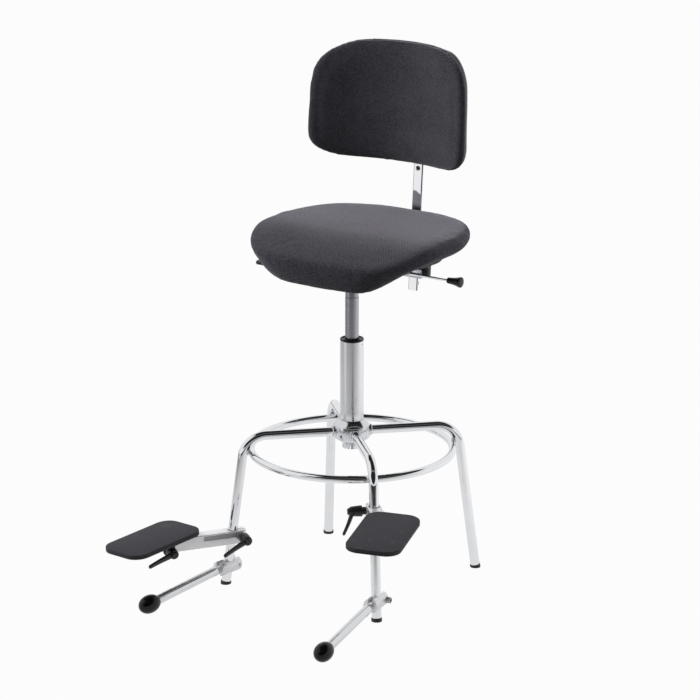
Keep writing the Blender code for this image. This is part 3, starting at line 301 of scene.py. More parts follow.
def bevelled(bm, edges, width, rounds):
    bmesh.ops.bevel(bm, geom=edges, offset=width, affect="EDGES", segments=rounds, profile=0.5, material=-1,
                    clamp_overlap=True)
    return bm


def softened(bm, width, sharper=35, rounds=3):
    """Rounds every edge whose two faces meet at more than an angle."""
    edges = [e for e in bm.edges if len(e.link_faces) == 2 and e.calc_face_angle(0) > math.radians(sharper)]
    return bevelled(bm, edges, width, rounds)


def rounded(bm, chosen, width, rounds):
    """Rounds the edges that a test of their middle and direction picks."""
    edges = []
    for edge in bm.edges:
        first, second = (vert.co for vert in edge.verts)
        if chosen((first + second) / 2, (second - first).normalized()):
            edges.append(edge)
    return bevelled(bm, edges, width, rounds)


def broken_up(start, end):
    """Points after start up to end, close enough that no face along the run is long and thin, which shades badly."""
    parts = max(1, math.ceil(abs(end[1] - start[1]) / longest_face)) if start[0] and end[0] else 1
    return [tuple(a + (b - a) * at / parts for a, b in zip(start, end)) for at in range(1, parts + 1)]


def spun(profile, hollow=False, steps=72, soft=0.0):
    """A profile of (radius, height) points spun round Z. A hollow one closes on itself."""
    bm = bmesh.new()
    route = [profile[0]]
    for start, end in zip(profile, profile[1:]):
        route += broken_up(start, end)
    if hollow:
        route += broken_up(profile[-1], profile[0])[:-1]
    points = [bm.verts.new((radius, 0, height)) for radius, height in route]
    pairs = list(zip(points, points[1:])) + ([(points[-1], points[0])] if hollow else [])
    lines = [bm.edges.new(pair) for pair in pairs]
    bmesh.ops.spin(bm, geom=points + lines, cent=(0, 0, 0), axis=(0, 0, 1), angle=math.tau, steps=steps,
                   use_merge=True)
    bmesh.ops.remove_doubles(bm, verts=bm.verts, dist=same_place)
    bmesh.ops.recalc_face_normals(bm, faces=bm.faces)
    return softened(bm, soft) if soft else bm


def block(low, high, soft=0.0):
    """A box between two corners."""
    bm = bmesh.new()
    middle = [(a + b) / 2 for a, b in zip(low, high)]
    size = [b - a for a, b in zip(low, high)]
    bmesh.ops.create_cube(bm, size=1.0, matrix=shift(*middle) @ Matrix.Diagonal((*size, 1.0)))
    return softened(bm, soft) if soft else bm


def slab(outline, low, high, soft=0.0, rounds=3):
    """A flat closed outline in XY, drawn out along Z from low to high."""
    bm = bmesh.new()
    face = bm.faces.new([bm.verts.new((x, y, low)) for x, y in outline])
    made = bmesh.ops.extrude_face_region(bm, geom=[face], use_keep_orig=True)["geom"]
    bmesh.ops.translate(bm, verts=verts_in(made), vec=(0, 0, high - low))
    bmesh.ops.recalc_face_normals(bm, faces=bm.faces)
    return softened(bm, soft, rounds=rounds) if soft else bm


def rod(radius, start, end, steps=48, soft=0.0):
    """A round bar along Z."""
    return spun([(0, end), (radius, end), (radius, start), (0, start)], steps=steps, soft=soft)


def swept(places, sizes, steps):
    """A ring carried through places, each a frame whose XY plane holds it, at its own half width and half height."""
    bm = bmesh.new()
    stations = [(places[0], sizes[0])]
    for (start, end), (size, wide) in zip(zip(places, places[1:]), zip(sizes, sizes[1:])):
        parts = max(1, math.ceil((end.translation - start.translation).length / longest_face))
        for at in range(1, parts + 1):
            share = at / parts
            stations.append((start.lerp(end, share) if share < 1 else end,
                             tuple(a + (b - a) * share for a, b in zip(size, wide))))
    places, sizes = [place for place, _ in stations], [size for _, size in stations]
    ring = bmesh.ops.create_circle(bm, cap_ends=True, segments=steps, radius=1.0)["verts"]
    edges = list(bm.edges)
    before = places[0] @ Matrix.Diagonal((*sizes[0], 1.0, 1.0))
    bmesh.ops.transform(bm, matrix=before, verts=ring)
    for place, size in zip(places[1:], sizes[1:]):
        made = bmesh.ops.extrude_edge_only(bm, edges=edges)["geom"]
        ring = verts_in(made)
        fresh = set(ring)
        edges = list(dict.fromkeys(e for v in ring for e in v.link_edges if fresh.issuperset(e.verts)))
        after = place @ Matrix.Diagonal((*size, 1.0, 1.0))
        bmesh.ops.transform(bm, matrix=after @ before.inverted(), verts=ring)
        before = after
    bmesh.ops.edgeloop_fill(bm, edges=edges)
    bmesh.ops.recalc_face_normals(bm, faces=bm.faces)
    return bm


def joined(*parts):
    """Several shapes in one mesh, each (shape, place)."""
    whole = bmesh.new()
    for bm, place in parts:
        bmesh.ops.transform(bm, matrix=place, verts=bm.verts)
        mesh = bpy.data.meshes.new("part")
        bm.to_mesh(mesh)
        bm.free()
        whole.from_mesh(mesh)
        bpy.data.meshes.remove(mesh)
    return whole


def loose(name, bm):
    """An object of its own from a shape."""
    mesh = bpy.data.meshes.new(name)
    bm.to_mesh(mesh)
    bm.free()
    obj = bpy.data.objects.new(name, mesh)
    scene.collection.objects.link(obj)
    return obj


def evaluated_mesh(obj):
    """A mesh of the object with its modifiers."""
    graph = bpy.context.evaluated_depsgraph_get()
    return bpy.data.meshes.new_from_object(obj.evaluated_get(graph))


def taken_up(mesh):
    """A mesh's shape, to work on. The mesh itself goes."""
    bm = bmesh.new()
    bm.from_mesh(mesh)
    bpy.data.meshes.remove(mesh)
    return bm


def carved(solid, *cutters):
    """The solid with each cutter, (shape, place), taken out of it."""
    target = loose("solid", solid)
    tools = []
    for cutter, place in cutters:
        bmesh.ops.transform(cutter, matrix=place, verts=cutter.verts)
        bmesh.ops.recalc_face_normals(cutter, faces=cutter.faces)
        tools.append(loose("cutter", cutter))
        cut = target.modifiers.new("cut", "BOOLEAN")
        cut.operation, cut.solver, cut.object = "DIFFERENCE", "EXACT", tools[-1]
    made = taken_up(evaluated_mesh(target))
    bmesh.ops.remove_doubles(made, verts=made.verts, dist=same_place)
    for old in [target, *tools]:
        bpy.data.objects.remove(old, do_unlink=True)
    return made


def dress(obj, body, slot, material, *nodes):
    """Gives a finished object its material and body, and hides the nodes that it stands for. Its slot is not used."""
    obj.data.materials.append(material)
    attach(obj, body)
    if nodes:
        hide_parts(*nodes)
    return obj


def piece(name, bm, place, body, slot, material, *nodes, edge=0.0, patch=None, patch_material=None):
    """One finished piece in its place. A fine bevel can round the edges that a cut left, and a patch of faces,
    picked by their centres, can take a second material."""
    for face in bm.faces if patch else []:
        face.material_index = int(patch(face.calc_center_median()))
    bmesh.ops.transform(bm, matrix=place, verts=bm.verts)
    bmesh.ops.recalc_face_normals(bm, faces=bm.faces)
    obj = loose(name, bm)
    obj.data.shade_smooth()
    obj.data.set_sharp_from_angle(angle=math.radians(crease_angle))
    if edge:
        round_over = obj.modifiers.new("edge", "BEVEL")
        round_over.width, round_over.segments, round_over.limit_method = edge, 2, "ANGLE"
        round_over.angle_limit = math.radians(edge_angle)
        round_over.harden_normals = True
    dress(obj, body, slot, material, *nodes)
    if patch:
        obj.data.materials.append(patch_material)
    return obj


def carried_over(material, *names):
    """A frame node whose own shape is right, or which nothing shows, with its material."""
    for name in names:
        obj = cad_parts[name]
        obj.data.materials.clear()
        obj.data.materials.append(material)


def beads(radius, count, size, flat):
    """Weld beads laid in a circle round Z, each a flattened lump a little different from the next."""
    bm = bmesh.new()
    for at in range(count):
        swell = 1 + 0.22 * math.sin(2.4 * at + radius * 900)
        place = Matrix.Rotation(math.tau * at / count, 4, "Z") @ shift(radius, 0, 0)
        place = place @ Matrix.Diagonal((size * swell, size * 1.15, size * flat, 1.0))
        bmesh.ops.create_icosphere(bm, subdivisions=2, radius=1.0, matrix=place)
    return bm


# ---------------------------------------------------------------- legs, ring, hub and column
leg_radius, leg_level, leg_bend, leg_splay, foot_reach = 0.010, 0.325, 0.052, 7.73, 0.2721
leg_run = math.tan(math.radians(leg_splay))  # how far the leg runs out for each metre down
tube_end = 0.0027  # the leg tube stops this far above the floor, inside its cap
bend_turn = 90 - leg_splay
bend_reach = foot_reach - leg_level * leg_run - leg_bend * math.tan(math.radians(bend_turn / 2))
bend_height = leg_level - leg_bend
leg_bearings = {"front_right": 225, "front_left": 315, "back_left": 45, "back_right": 135}
ring_tube, ring_rise = 0.008, 0.014
bend_steps, tube_start = 26, 0.0290


def leg_place(leg, height):
    """A frame on a leg's centre line below the bend, its axes still those of the room."""
    reach = foot_reach - height * leg_run
    bearing = math.radians(leg_bearings[leg])
    return column @ shift(reach * math.cos(bearing), reach * math.sin(bearing), height)


def leg_frame(leg, height):
    """The same with Z up the leg and X outwards."""
    return leg_place(leg, height) @ turn_z(leg_bearings[leg]) @ turn_y(-leg_splay)


def bend_place(turn, depth=leg_bend):
    """A frame in the bend after so many degrees of it, with Z along the tube."""
    angle = math.radians(turn)
    return shift(bend_reach + depth * math.sin(angle), 0, bend_height + depth * math.cos(angle)) @ turn_y(90 + turn)


for leg, bearing in leg_bearings.items():
    route = [shift(tube_start, 0, leg_level) @ along_x]
    route += [bend_place(bend_turn * step / bend_steps) for step in range(bend_steps + 1)]
    route += [shift(foot_reach - tube_end * leg_run, 0, tube_end) @ turn_y(90 + bend_turn)]
    tube = swept(route, [(leg_radius, leg_radius)] * len(route), steps=56)
    piece(f"base_leg_{leg}", tube, column @ turn_z(bearing), "base", "chrome", chrome, f"leg_{leg}")

    cup = spun([(0, 0.0025), (0.0101, 0.0025), (0.0101, 0.0060), (0.0104, 0.0068), (0.0109, 0.0068),
                (0.0112, 0.0062), (0.0112, -0.0030), (0, -0.0030)])
    bmesh.ops.transform(cup, matrix=leg_frame(leg, 0), verts=cup.verts)
    trimmed = bmesh.ops.bisect_plane(cup, geom=everything(cup), plane_co=(0, 0, 0), plane_no=(0, 0, -1),
                                     clear_outer=True)["geom_cut"]
    bmesh.ops.edgeloop_fill(cup, edges=[item for item in trimmed if isinstance(item, bmesh.types.BMEdge)])
    piece(f"base_foot_cap_{leg}", cup, as_is, "base", "black_plastic", nylon, f"foot_cap_{leg}", edge=0.0003)

ring_depth = leg_bend - leg_radius - ring_tube - gap
ring_radius = bend_reach + math.sqrt(ring_depth**2 - ring_rise**2)
ring = bmesh.new()
bmesh.ops.create_circle(ring, segments=36, radius=ring_tube, matrix=shift(ring_radius, 0, 0) @ upright)
bmesh.ops.spin(ring, geom=everything(ring), cent=(0, 0, 0), axis=(0, 0, 1), angle=math.tau, steps=180,
               use_merge=True)
bmesh.ops.remove_doubles(ring, verts=ring.verts, dist=same_place)
piece("base_ring", ring, column @ shift(0, 0, bend_height + ring_rise), "base", "chrome", chrome, "foot_ring")

touch_turn = math.degrees(math.acos(ring_rise / ring_depth))  # where in the bend the ring touches the leg
boss_length = 0.0415
welds = []
for leg, bearing in leg_bearings.items():
    contact = turn_z(bearing) @ bend_place(touch_turn, leg_bend - leg_radius) @ turn_y(-90)
    welds.append((beads(radius=0.0058, count=11, size=0.0021, flat=0.9), contact))
    boss_face = turn_z(bearing) @ shift(boss_length + gap, 0, leg_level) @ along_x
    welds.append((beads(radius=0.0104, count=18, size=0.0017, flat=0.7), boss_face))
piece("base_weld_beads", joined(*welds), column, "base", "chrome", chrome)

hub_wall = spun([(0, 0.311), (0.0223, 0.311), (0.0223, 0.351), (0.0252, 0.351), (0.0258, 0.3505), (0.0377, 0.3395),
                 (0.0380, 0.3385), (0.0380, 0.3125), (0.0376, 0.3117), (0.0215, 0.3012), (0.0205, 0.301),
                 (0, 0.301)], steps=96)
bosses = [(spun([(0, 0.0300), (0.0127, 0.0300), (0.0127, 0.0406), (0.0118, boss_length), (0, boss_length)]),
           turn_z(bearing) @ shift(0, 0, leg_level) @ along_x) for bearing in leg_bearings.values()]
piece("base_hub", joined((hub_wall, as_is), *bosses), column, "base", "cast_alloy", buffed_alloy, "hub")

# A nut with twelve teeth drawn down from its rim, three quarters tooth and one quarter slot.
rim_height, tooth_depth, tooth_pitch, tooth_turn = 0.2955, 0.0065, 30, 22.5
nut = spun([(0, 0.3007), (0.0195, 0.3007), (0.0200, 0.3002), (0.0200, rim_height), (0.0165, rim_height),
            (0.0165, 0.2985), (0, 0.2985)], steps=48)
teeth = []
for face in nut.faces:
    middle = face.calc_center_median()
    turn = math.degrees(math.atan2(middle.y, middle.x)) % tooth_pitch
    if abs(middle.z - rim_height) < same_place and turn < tooth_turn:
        teeth.append(face)
drawn = bmesh.ops.extrude_face_region(nut, geom=teeth)["geom"]
bmesh.ops.translate(nut, verts=verts_in(drawn), vec=(0, 0, -tooth_depth))
piece("base_slotted_nut", nut, column, "base", "satin_steel", buffed_alloy, "hub_nut", edge=0.0003)

tube = spun([(0, 0.3115), (0.0219, 0.3115), (0.0219, 0.3512), (0.0247, 0.3512), (0.0250, 0.3516), (0.0250, 0.5230),
             (0.0246, 0.5235), (0.0226, 0.5235), (0.0226, 0.4300), (0, 0.4300)], steps=96)
piece("base_column", tube, column, "base", "chrome", ground_chrome, "column_tube")
column_radius, rivet_height = 0.025, 0.517
rivet = spun([(0, 0.0004), (0.0009, 0.0003), (0.0013, 0), (0.0013, -0.0006), (0, -0.0006)], steps=20)
rivet_place = column @ shift(0, 0, rivet_height) @ turn_z(3) @ shift(column_radius, 0, 0) @ along_x
piece("base_column_rivet", rivet, rivet_place, "base", "black_plastic", nylon)
flange = spun([(0.0147, 0.5268), (0.0160, 0.5275), (0.0172, 0.5268), (0.0180, 0.5256), (0.0222, 0.5256),
               (0.0232, 0.5272), (0.0241, 0.5275), (0.0250, 0.5268), (0.0250, 0.5240), (0.0221, 0.5238),
               (0.0221, 0.4302), (0.0147, 0.4302)], hollow=True, steps=96)
piece("base_column_bush", flange, column, "base", "black_plastic", phenolic, "column_bush")
carried_over(steel, "lift_rod")

# ---------------------------------------------------------------- gas lift
cylinder = spun([(0, 0.6600), (0.0043, 0.6600), (0.0043, 0.6720), (0.0127, 0.6720), (0.0130, 0.6714),
                 (0.0141, 0.6188), (0.0136, 0.6183), (0.0136, 0.6172), (0.0144, 0.6164), (0.0144, 0.4064),
                 (0.0140, 0.4060), (0.0103, 0.4060), (0.0103, 0.6000), (0, 0.6000)], steps=96)
piece("gas_lift_cylinder", cylinder, column, "lift", "satin_steel", steel, "lift_cylinder")
carried_over(steel, "lift_button")

# ---------------------------------------------------------------- seat mounting, board and paddle
tube_top, tube_low, tube_half, tube_front, tube_back = 0.684, 0.655, 0.032, -0.031, 0.160
tube_wall, sheet_half = 0.003, 0.0015
hinge_back, hinge_height = 0.180, 0.669
box_tube = carved(
    rounded(block((-tube_half, tube_front, tube_low), (tube_half, tube_back, tube_top)), along(1), 0.0035, 4),
    (block((-tube_half + tube_wall, tube_front - 0.01, tube_low + tube_wall),
           (tube_half - tube_wall, tube_back + 0.01, tube_top - tube_wall)), as_is),
    (block((-tube_half - 0.002, -0.0085, 0.668), (-tube_half + 0.005, 0.0085, 0.6808)), as_is))
flange_plate = rounded(block((-0.080, -0.032, 0.6825), (0.080, 0.150, 0.687)), along(2), 0.014, 6)
socket = spun([(0.0146, 0.640), (0.0172, 0.640), (0.0180, 0.641), (0.0180, 0.6724), (0.0138, 0.6724)], hollow=True)
ears = []
for sign in (-1, 1):
    ear = slab([(0.158, 0.6575), (0.184, 0.6575), (0.192, 0.6650), (0.192, 0.6820), (0.158, 0.6820)],
               -sheet_half, sheet_half, soft=0.0006, rounds=2)
    ears.append((ear, shift(sign * (tube_half - sheet_half), 0, 0) @ sideways))
mount = joined((box_tube, as_is), (flange_plate, as_is), (socket, as_is), *ears)
piece("seat_mounting", mount, column, "seat", "dark_steel", coated, "seat_mount", edge=0.0005)
screws = []
for x in (-0.064, 0.064):
    for y in (-0.012, 0.130):
        head = spun([(0, 0.0), (0.0058, 0.0), (0.0058, -0.0022), (0.0044, -0.0034), (0.0022, -0.0036),
                     (0.0018, -0.0020), (0, -0.0020)], steps=24)
        screws.append((head, shift(x, y, 0.6824)))
piece("seat_mounting_screws", joined(*screws), column, "seat", "satin_steel", steel)

hinge_pin = spun([(0, 0.0388), (0.0050, 0.0388), (0.0070, 0.0372), (0.0070, 0.0356), (0.0040, 0.0356),
                  (0.0040, -0.0356), (0.0070, -0.0356), (0.0070, -0.0372), (0.0050, -0.0388), (0, -0.0388)], steps=36)
piece("backrest_hinge_pin", hinge_pin, column @ shift(0, hinge_back, hinge_height) @ along_x, "seat",
      "satin_steel", steel, "recline_pin")

board = rounded(block((-0.145, -0.033, 0.6873), (0.145, 0.190, 0.6973)), along(2), 0.095, 16)
piece("seat_board_plywood", softened(board, 0.0012, rounds=2), column, "seat", "plywood", plywood, "seat_board")

level, drop = 0.6783, 0.0205  # of the paddle's inner end, and of its outer end below that
upper, lower = level + 0.002, level - 0.002
strip = slab([(0.005, lower), (0.005, upper), (-0.040, upper), (-0.064, upper - drop), (-0.236, upper - drop),
              (-0.236, lower - drop), (-0.060, lower - drop), (-0.036, lower)], -0.006, 0.006)
strip = rounded(strip, lambda middle, run: abs(run.z) > parallel and -0.07 < middle.x < -0.03, 0.005, 5)
piece("lift_paddle_strip", softened(strip, 0.0006, rounds=2), column @ upright, "paddle", "dark_steel", coated,
      "lift_paddle_arm")
grip = block((-0.242, -0.012, level - drop - 0.00375), (-0.200, 0.012, level - drop + 0.00375))
grip = rounded(grip, along(2), 0.0085, 8)
piece("lift_paddle_blade", softened(grip, 0.0024, rounds=4), column, "paddle", "black_plastic", nylon,
      "lift_paddle_grip")

# ---------------------------------------------------------------- backrest bracket, guide, lever and bar
bar_lean, bar_foot = 4.0, (0, 0.2344, 0.616)
bar_half, bar_thick, bar_low, bar_high = 0.0118, 0.006, -0.036, 0.372
hole_height, pivot_height, stop_height = 0.229, 0.350, -0.022
bar_frame = column @ shift(*bar_foot) @ turn_x(-bar_lean)
to_column = bar_frame.inverted() @ column
bracket_half, bracket_low, bracket_high, cheek_reach = 0.0335, -0.002, 0.062, 0.2437
back_plate = [(block((-bracket_half, 0.0063, bracket_low), (bracket_half, 0.0093, bracket_high), soft=0.0007), as_is)]
for sign in (-1, 1):
    low, high = sorted((sign * (bracket_half - 2 * sheet_half), sign * bracket_half))
    back_plate.append((block((low, 0.0075, bracket_low), (high, 0.0180, bracket_high), soft=0.0007), as_is))
    nose = [(hinge_back + x, hinge_height + z) for x, z in arc(0.011, 90, 231, 14)]
    cheek = slab([*nose, (cheek_reach, 0.630), (cheek_reach, 0.680)], -sheet_half, sheet_half, soft=0.0006, rounds=2)
    back_plate.append((cheek, to_column @ shift(sign * (bracket_half + gap), 0, 0) @ sideways))
piece("backrest_bracket", joined(*back_plate), bar_frame, "back_carrier", "dark_steel", coated, "back_bracket")


def cupped(half, front, back, bed):
    """The outline of a piece that holds the bar in a groove with its bed at this depth."""
    play = bar_half + gap
    side = [(half, front), (half, back), (play, back), (play, bed)]
    return [(-half, front), *side, *((-x, y) for x, y in reversed(side[1:]))]


channel = cupped(0.022, -0.0035, 0.006, -gap)
piece("bar_guide_channel", slab(channel, -0.008, 0.012, soft=0.0008), bar_frame, "back_carrier", "zinc", zinc,
      "bar_guide")

lever_place = bar_frame @ shift(-0.010, 0, 0)
boss_face = -0.0038
head = boss_face - 0.006 - gap
lever_pin = spun([(0, boss_face + 0.0030), (0.0025, boss_face + 0.0030), (0.0025, head), (0.0048, head),
                  (0.0050, head - 0.0006), (0.0044, head - 0.0020), (0.0025, head - 0.0025), (0, head - 0.0025)],
                 steps=32)
piece("bar_lever_rivet", lever_pin, lever_place @ across, "back_carrier", "zinc", zinc, "bar_lever_pin")
boss = spun([(0, boss_face), (0.007, boss_face), (0.007, boss_face - 0.006), (0, boss_face - 0.006)], steps=48,
            soft=0.0006)
rod_line = shift(0, boss_face - 0.003, 0) @ along_x
piece("bar_lever_arm", joined((boss, across), (rod(0.003, 0.004, 0.114, steps=32), rod_line)), lever_place,
      "bar_lever", "chrome", chrome, "bar_lever_rod")
knob = spun([(0, 0.1024), (0.0046, 0.1022), (0.0061, 0.1026), (0.0067, 0.1036), (0.0068, 0.1062), (0.0070, 0.1100),
             (0.0076, 0.1160), (0.0086, 0.1220), (0.0100, 0.1280), (0.0112, 0.1322), (0.0115, 0.1340),
             (0.0112, 0.1354), (0.0098, 0.1360), (0, 0.1360)], steps=64)
piece("bar_lever_bell_knob", knob, lever_place @ rod_line, "bar_lever", "black_plastic", phenolic, "bar_lever_knob")

bar = rounded(block((-bar_half, 0, bar_low), (bar_half, bar_thick, bar_high)), along(2), 0.0024, 6)
sight_hole = spun([(0, 0.0100), (0.0072, 0.0100), (0.0058, 0.0062), (0.0026, 0.0034), (0.0026, 0.0024),
                   (0.0058, -0.0004), (0.0072, -0.0040), (0, -0.0040)], steps=40)
hole_place = shift(0, 0, hole_height) @ across
bar = carved(bar, (sight_hole, hole_place))
bar_part, bar_parts = 0.017, 24  # cut across so often, since a long thin face shades badly
for at in range(1, bar_parts):
    bmesh.ops.bisect_plane(bar, geom=everything(bar), dist=0.01 * millimetre,
                           plane_co=(0, 0, bar_low + bar_part * at), plane_no=(0, 0, 1))
piece("back_bar_flat", bar, bar_frame, "bar", "chrome", chrome, "back_bar", edge=0.0004)
stop = spun([(0, 0.0163), (0.0050, 0.0163), (0.0062, 0.0154), (0.0065, 0.0142), (0.0065, 0.0072), (0.0060, 0.0063),
             (0.0030, 0.0063), (0.0030, 0.0003), (0, 0.0003)], steps=40)
piece("bar_stop_screw", stop, bar_frame @ shift(0, 0, stop_height) @ across, "bar", "black_plastic", nylon,
      "bar_stop_bolt")
# A black plug fills the sight hole's bore so that the hole reads dark: painted shade for the inside of the hole.
painted_shade_plug = spun([(0, 0.0008), (0.0012, 0.0006), (0.0021, 0.0002), (0.0024, 0.0008), (0.0024, 0.0052), (0.0020, 0.0056),
             (0, 0.0056)], steps=28)
piece("bar_hole_painted_shade_plug", painted_shade_plug, bar_frame @ hole_place, "bar", "black_plastic", phenolic)
carried_over(steel, "back_pivot_pin")

# ---------------------------------------------------------------- backrest's hinge
pad_lean = 2.8
block_frame = bar_frame @ shift(0, 0, pivot_height) @ turn_x(bar_lean - pad_lean)
lug_front = -0.0405
lug = cupped(0.024, lug_front, 0.010, -0.0075)
piece("backrest_hinge_lug", slab(lug, -0.035, 0.030, soft=0.0020), block_frame, "backrest", "black_plastic", nylon,
      "back_hinge_block")


# ---------------------------------------------------------------- soft goods
cloth_frames, foam_pressure = 20, 4
drawn_back = 0.78  # the share of the way from the blown cloth back to the solid's form
cover_voxel, form_rounds, last_rounds = 0.005, 26, 3


def places(mesh):
    return np.array([vert.co for vert in mesh.vertices], float)


def put(mesh, points):
    mesh.vertices.foreach_set("co", points.astype(np.float32).ravel())
    mesh.update()


def weave_map(obj, lengths):
    """Lays the cloth's weave over the piece: lengths turns each point into its two lengths over the surface."""
    laid = lengths(places(obj.data)).astype(np.float32)
    index = np.zeros(len(obj.data.loops), np.int32)
    obj.data.loops.foreach_get("vertex_index", index)
    layer = obj.data.uv_layers.new(name="weave")
    layer.data.foreach_set("uv", laid[index].ravel())


def evened(bm, rounds):
    """Smooths a mesh so many times without shrinking it: each pass in is followed by one out."""
    for _ in range(rounds):
        for factor in (0.5, -0.52):
            bmesh.ops.smooth_vert(bm, verts=bm.verts, factor=factor, use_axis_x=True, use_axis_y=True,
                                  use_axis_z=True)
    return bm


def blown(cover, held):
    """Where the cover's cloth comes to rest when the foam presses it outwards."""
    group = cover.vertex_groups.new(name="held")
    group.add([int(at) for at in np.flatnonzero(held)], 1.0, "REPLACE")
    cloth = cover.modifiers.new("cloth", "CLOTH")
    stiff = cloth.settings
    stiff.quality, stiff.mass = 6, 0.3
    stiff.tension_stiffness = stiff.compression_stiffness = 22
    stiff.shear_stiffness, stiff.bending_stiffness = 12, 1.5
    stiff.use_pressure, stiff.uniform_pressure_force = True, foam_pressure
    stiff.vertex_group_mass = "held"
    stiff.effector_weights.gravity = 0
    cloth.point_cache.frame_start, cloth.point_cache.frame_end = 1, cloth_frames
    for at in range(1, cloth_frames + 1):
        scene.frame_set(at)
    mesh = evaluated_mesh(cover)
    rest = places(mesh)
    bpy.data.meshes.remove(mesh)
    cover.modifiers.clear()
    cover.vertex_groups.clear()
    scene.frame_set(1)
    return rest


def stuffed(name, node_name, inset, most, held_under, puff=0.0006):
    """A foam piece's cover: the solid's form, made smaller by the inset, blown up as cloth until it is taut or has
    gone the most that it may, and then drawn most of the way back on to the form and the puff over it. That keeps
    the outline true and the cloth's own unevenness."""
    source = bmesh.new()
    source.from_mesh(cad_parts[node_name].data)
    bmesh.ops.remove_doubles(source, verts=source.verts, dist=0.01 * millimetre)
    bmesh.ops.recalc_face_normals(source, faces=source.faces)
    rough = loose(name + "_rough", source)
    remesh = rough.modifiers.new("remesh", "REMESH")
    remesh.mode, remesh.voxel_size = "VOXEL", cover_voxel
    voxels = taken_up(evaluated_mesh(rough))
    bpy.data.objects.remove(rough, do_unlink=True)
    cover = loose(name, evened(voxels, form_rounds))
    form = places(cover.data)
    outwards = np.array([vert.normal for vert in cover.data.vertices], float)
    start = form - outwards * inset
    put(cover.data, start)
    rest = blown(cover, held_under(start))
    move = rest - start
    length = np.linalg.norm(move, axis=1)
    rest = start + move * np.minimum(1.0, most / np.maximum(length, 1e-9))[:, None]
    rest += (form + outwards * puff - rest) * drawn_back
    put(cover.data, rest)
    bm = bmesh.new()
    bm.from_mesh(cover.data)
    evened(bm, last_rounds).to_mesh(cover.data)
    bm.free()
    finer = cover.modifiers.new("finer", "SUBSURF")
    finer.levels = finer.render_levels = 1
    mesh = evaluated_mesh(cover)
    cover.modifiers.clear()
    old, cover.data = cover.data, mesh
    bpy.data.meshes.remove(old)
    mesh.name = name
    mesh.shade_smooth()
    return cover


def reshape(obj, change):
    """Moves each vertex by what change gives for all the points and normals."""
    points = places(obj.data)
    normals = np.array([vert.normal for vert in obj.data.vertices], float)
    put(obj.data, points + change(points, normals))


seat_middle = column @ Vector((0, 0.0485, 0))
board_top, staple_reach = 0.6976, 0.004
front_run, front_fall, fall_from, fall_to = 0.135, 0.020, 0.705, 0.750
side_share = 0.9  # how much of its length the weave keeps on the way down a side
pull_top, pull_run, pull_fade = 0.742, 0.024, 0.006
pulls = ((16, 9, 0.0009), (34, 14, 0.0005))  # how often round, how often up, and how deep


def seat_held(points):
    """The cover is stapled under the foam, round the board."""
    return points[:, 2] < board_top + staple_reach


def seat_pull(points, normals):
    """The front of the top falls away to the edge, and fine upright pulls run where the cloth is drawn under."""
    moved = np.zeros_like(points)
    front = np.clip((points[:, 1].min() + front_run - points[:, 1]) / front_run, 0, 1)
    high = np.clip((points[:, 2] - fall_from) / (fall_to - fall_from), 0, 1)
    moved[:, 2] = -front_fall * front**2 * high
    for at, (x, y, z) in enumerate(points):
        bearing = math.atan2(y - seat_middle.y, x - seat_middle.x)
        low = max(0.0, min(1.0, (pull_top - z) / pull_run)) * max(0.0, min(1.0, (z - board_top) / pull_fade))
        if low > 0:
            depth = sum(deep * noise.noise(Vector((math.cos(bearing) * turns, math.sin(bearing) * turns, z * climbs)))
                        for turns, climbs, deep in pulls)
            moved[at] += normals[at] * low * depth
    return moved


def seat_weave(points):
    """The weave runs out from the seat's middle and on down over its sides."""
    flat = points[:, :2] - np.array(seat_middle[:2])
    reach = np.linalg.norm(flat, axis=1)
    fall = np.maximum(0.0, points[:, 2].max() - points[:, 2])
    return flat / np.maximum(reach, 1e-6)[:, None] * (reach + side_share * fall)[:, None]


seat = stuffed("seat_cushion_cover", "seat_cushion", inset=0.0030, most=0.0055, held_under=seat_held)
reshape(seat, seat_pull)
weave_map(seat, seat_weave)
dress(seat, "seat", "seat_cloth", seat_wool, "seat_cushion")

pad_half_width, pad_half_height, pad_rise, pad_bow = 0.1918, 0.1285, 0.0301, 0.0725
top_corner, low_corner, straight_up, straight_across = 0.072, 0.0545, 0.55, 0.75
top_narrowing, low_widening, top_dip, low_dip = 0.055, 0.05, 0.015, -0.002
shell_thick, shell_share = 0.0034, 0.945
face_start, tuck_depth = 0.004, 0.004
seam_depth, seam_half, seam_pull, ridge_off, ridge_half, ridge_rise = 0.0235, 0.0016, 0.0016, 0.0045, 0.003, 0.0005
pad_origin = block_frame @ Vector((0, lug_front - gap, 0))
pad_frame = Matrix.Translation(pad_origin) @ turn_x(-pad_lean)
to_pad = np.array(pad_frame.inverted())


def corner_run(share, straight, half_side, corner):
    """A side of a rounded rectangle: the place along it and how far its corner falls back."""
    run = abs(share)
    if run <= straight:
        return share / straight * (half_side - corner), 0.0
    angle = math.radians(45) * (run - straight) / (1 - straight)
    return math.copysign(half_side - corner + corner * math.sin(angle), share), corner * (math.cos(angle) - 1)


def back_outline(u, v, draw):
    """A point of the backrest's face, across and up, from its shares of the way out: wide radii at the top."""
    reach = max(abs(u), abs(v))
    if reach == 0:
        return 0.0, pad_rise
    corner = top_corner if v > 0 else low_corner
    u, v = u / reach, v / reach
    if abs(u) >= abs(v):
        z, fall = corner_run(v, straight_up, pad_half_height, corner)
        x = math.copysign(pad_half_width + fall, u)
    else:
        x, fall = corner_run(u, straight_across, pad_half_width, corner)
        z = math.copysign(pad_half_height + fall, v)
    x, z = x * reach, z * reach
    climb = z / pad_half_height
    x *= 1 - top_narrowing * climb**1.5 if climb > 0 else 1 + low_widening * climb**2
    z -= (top_dip if climb > 0 else low_dip) * (x / pad_half_width) ** 2 * abs(climb)
    return x * draw, pad_rise + z * draw


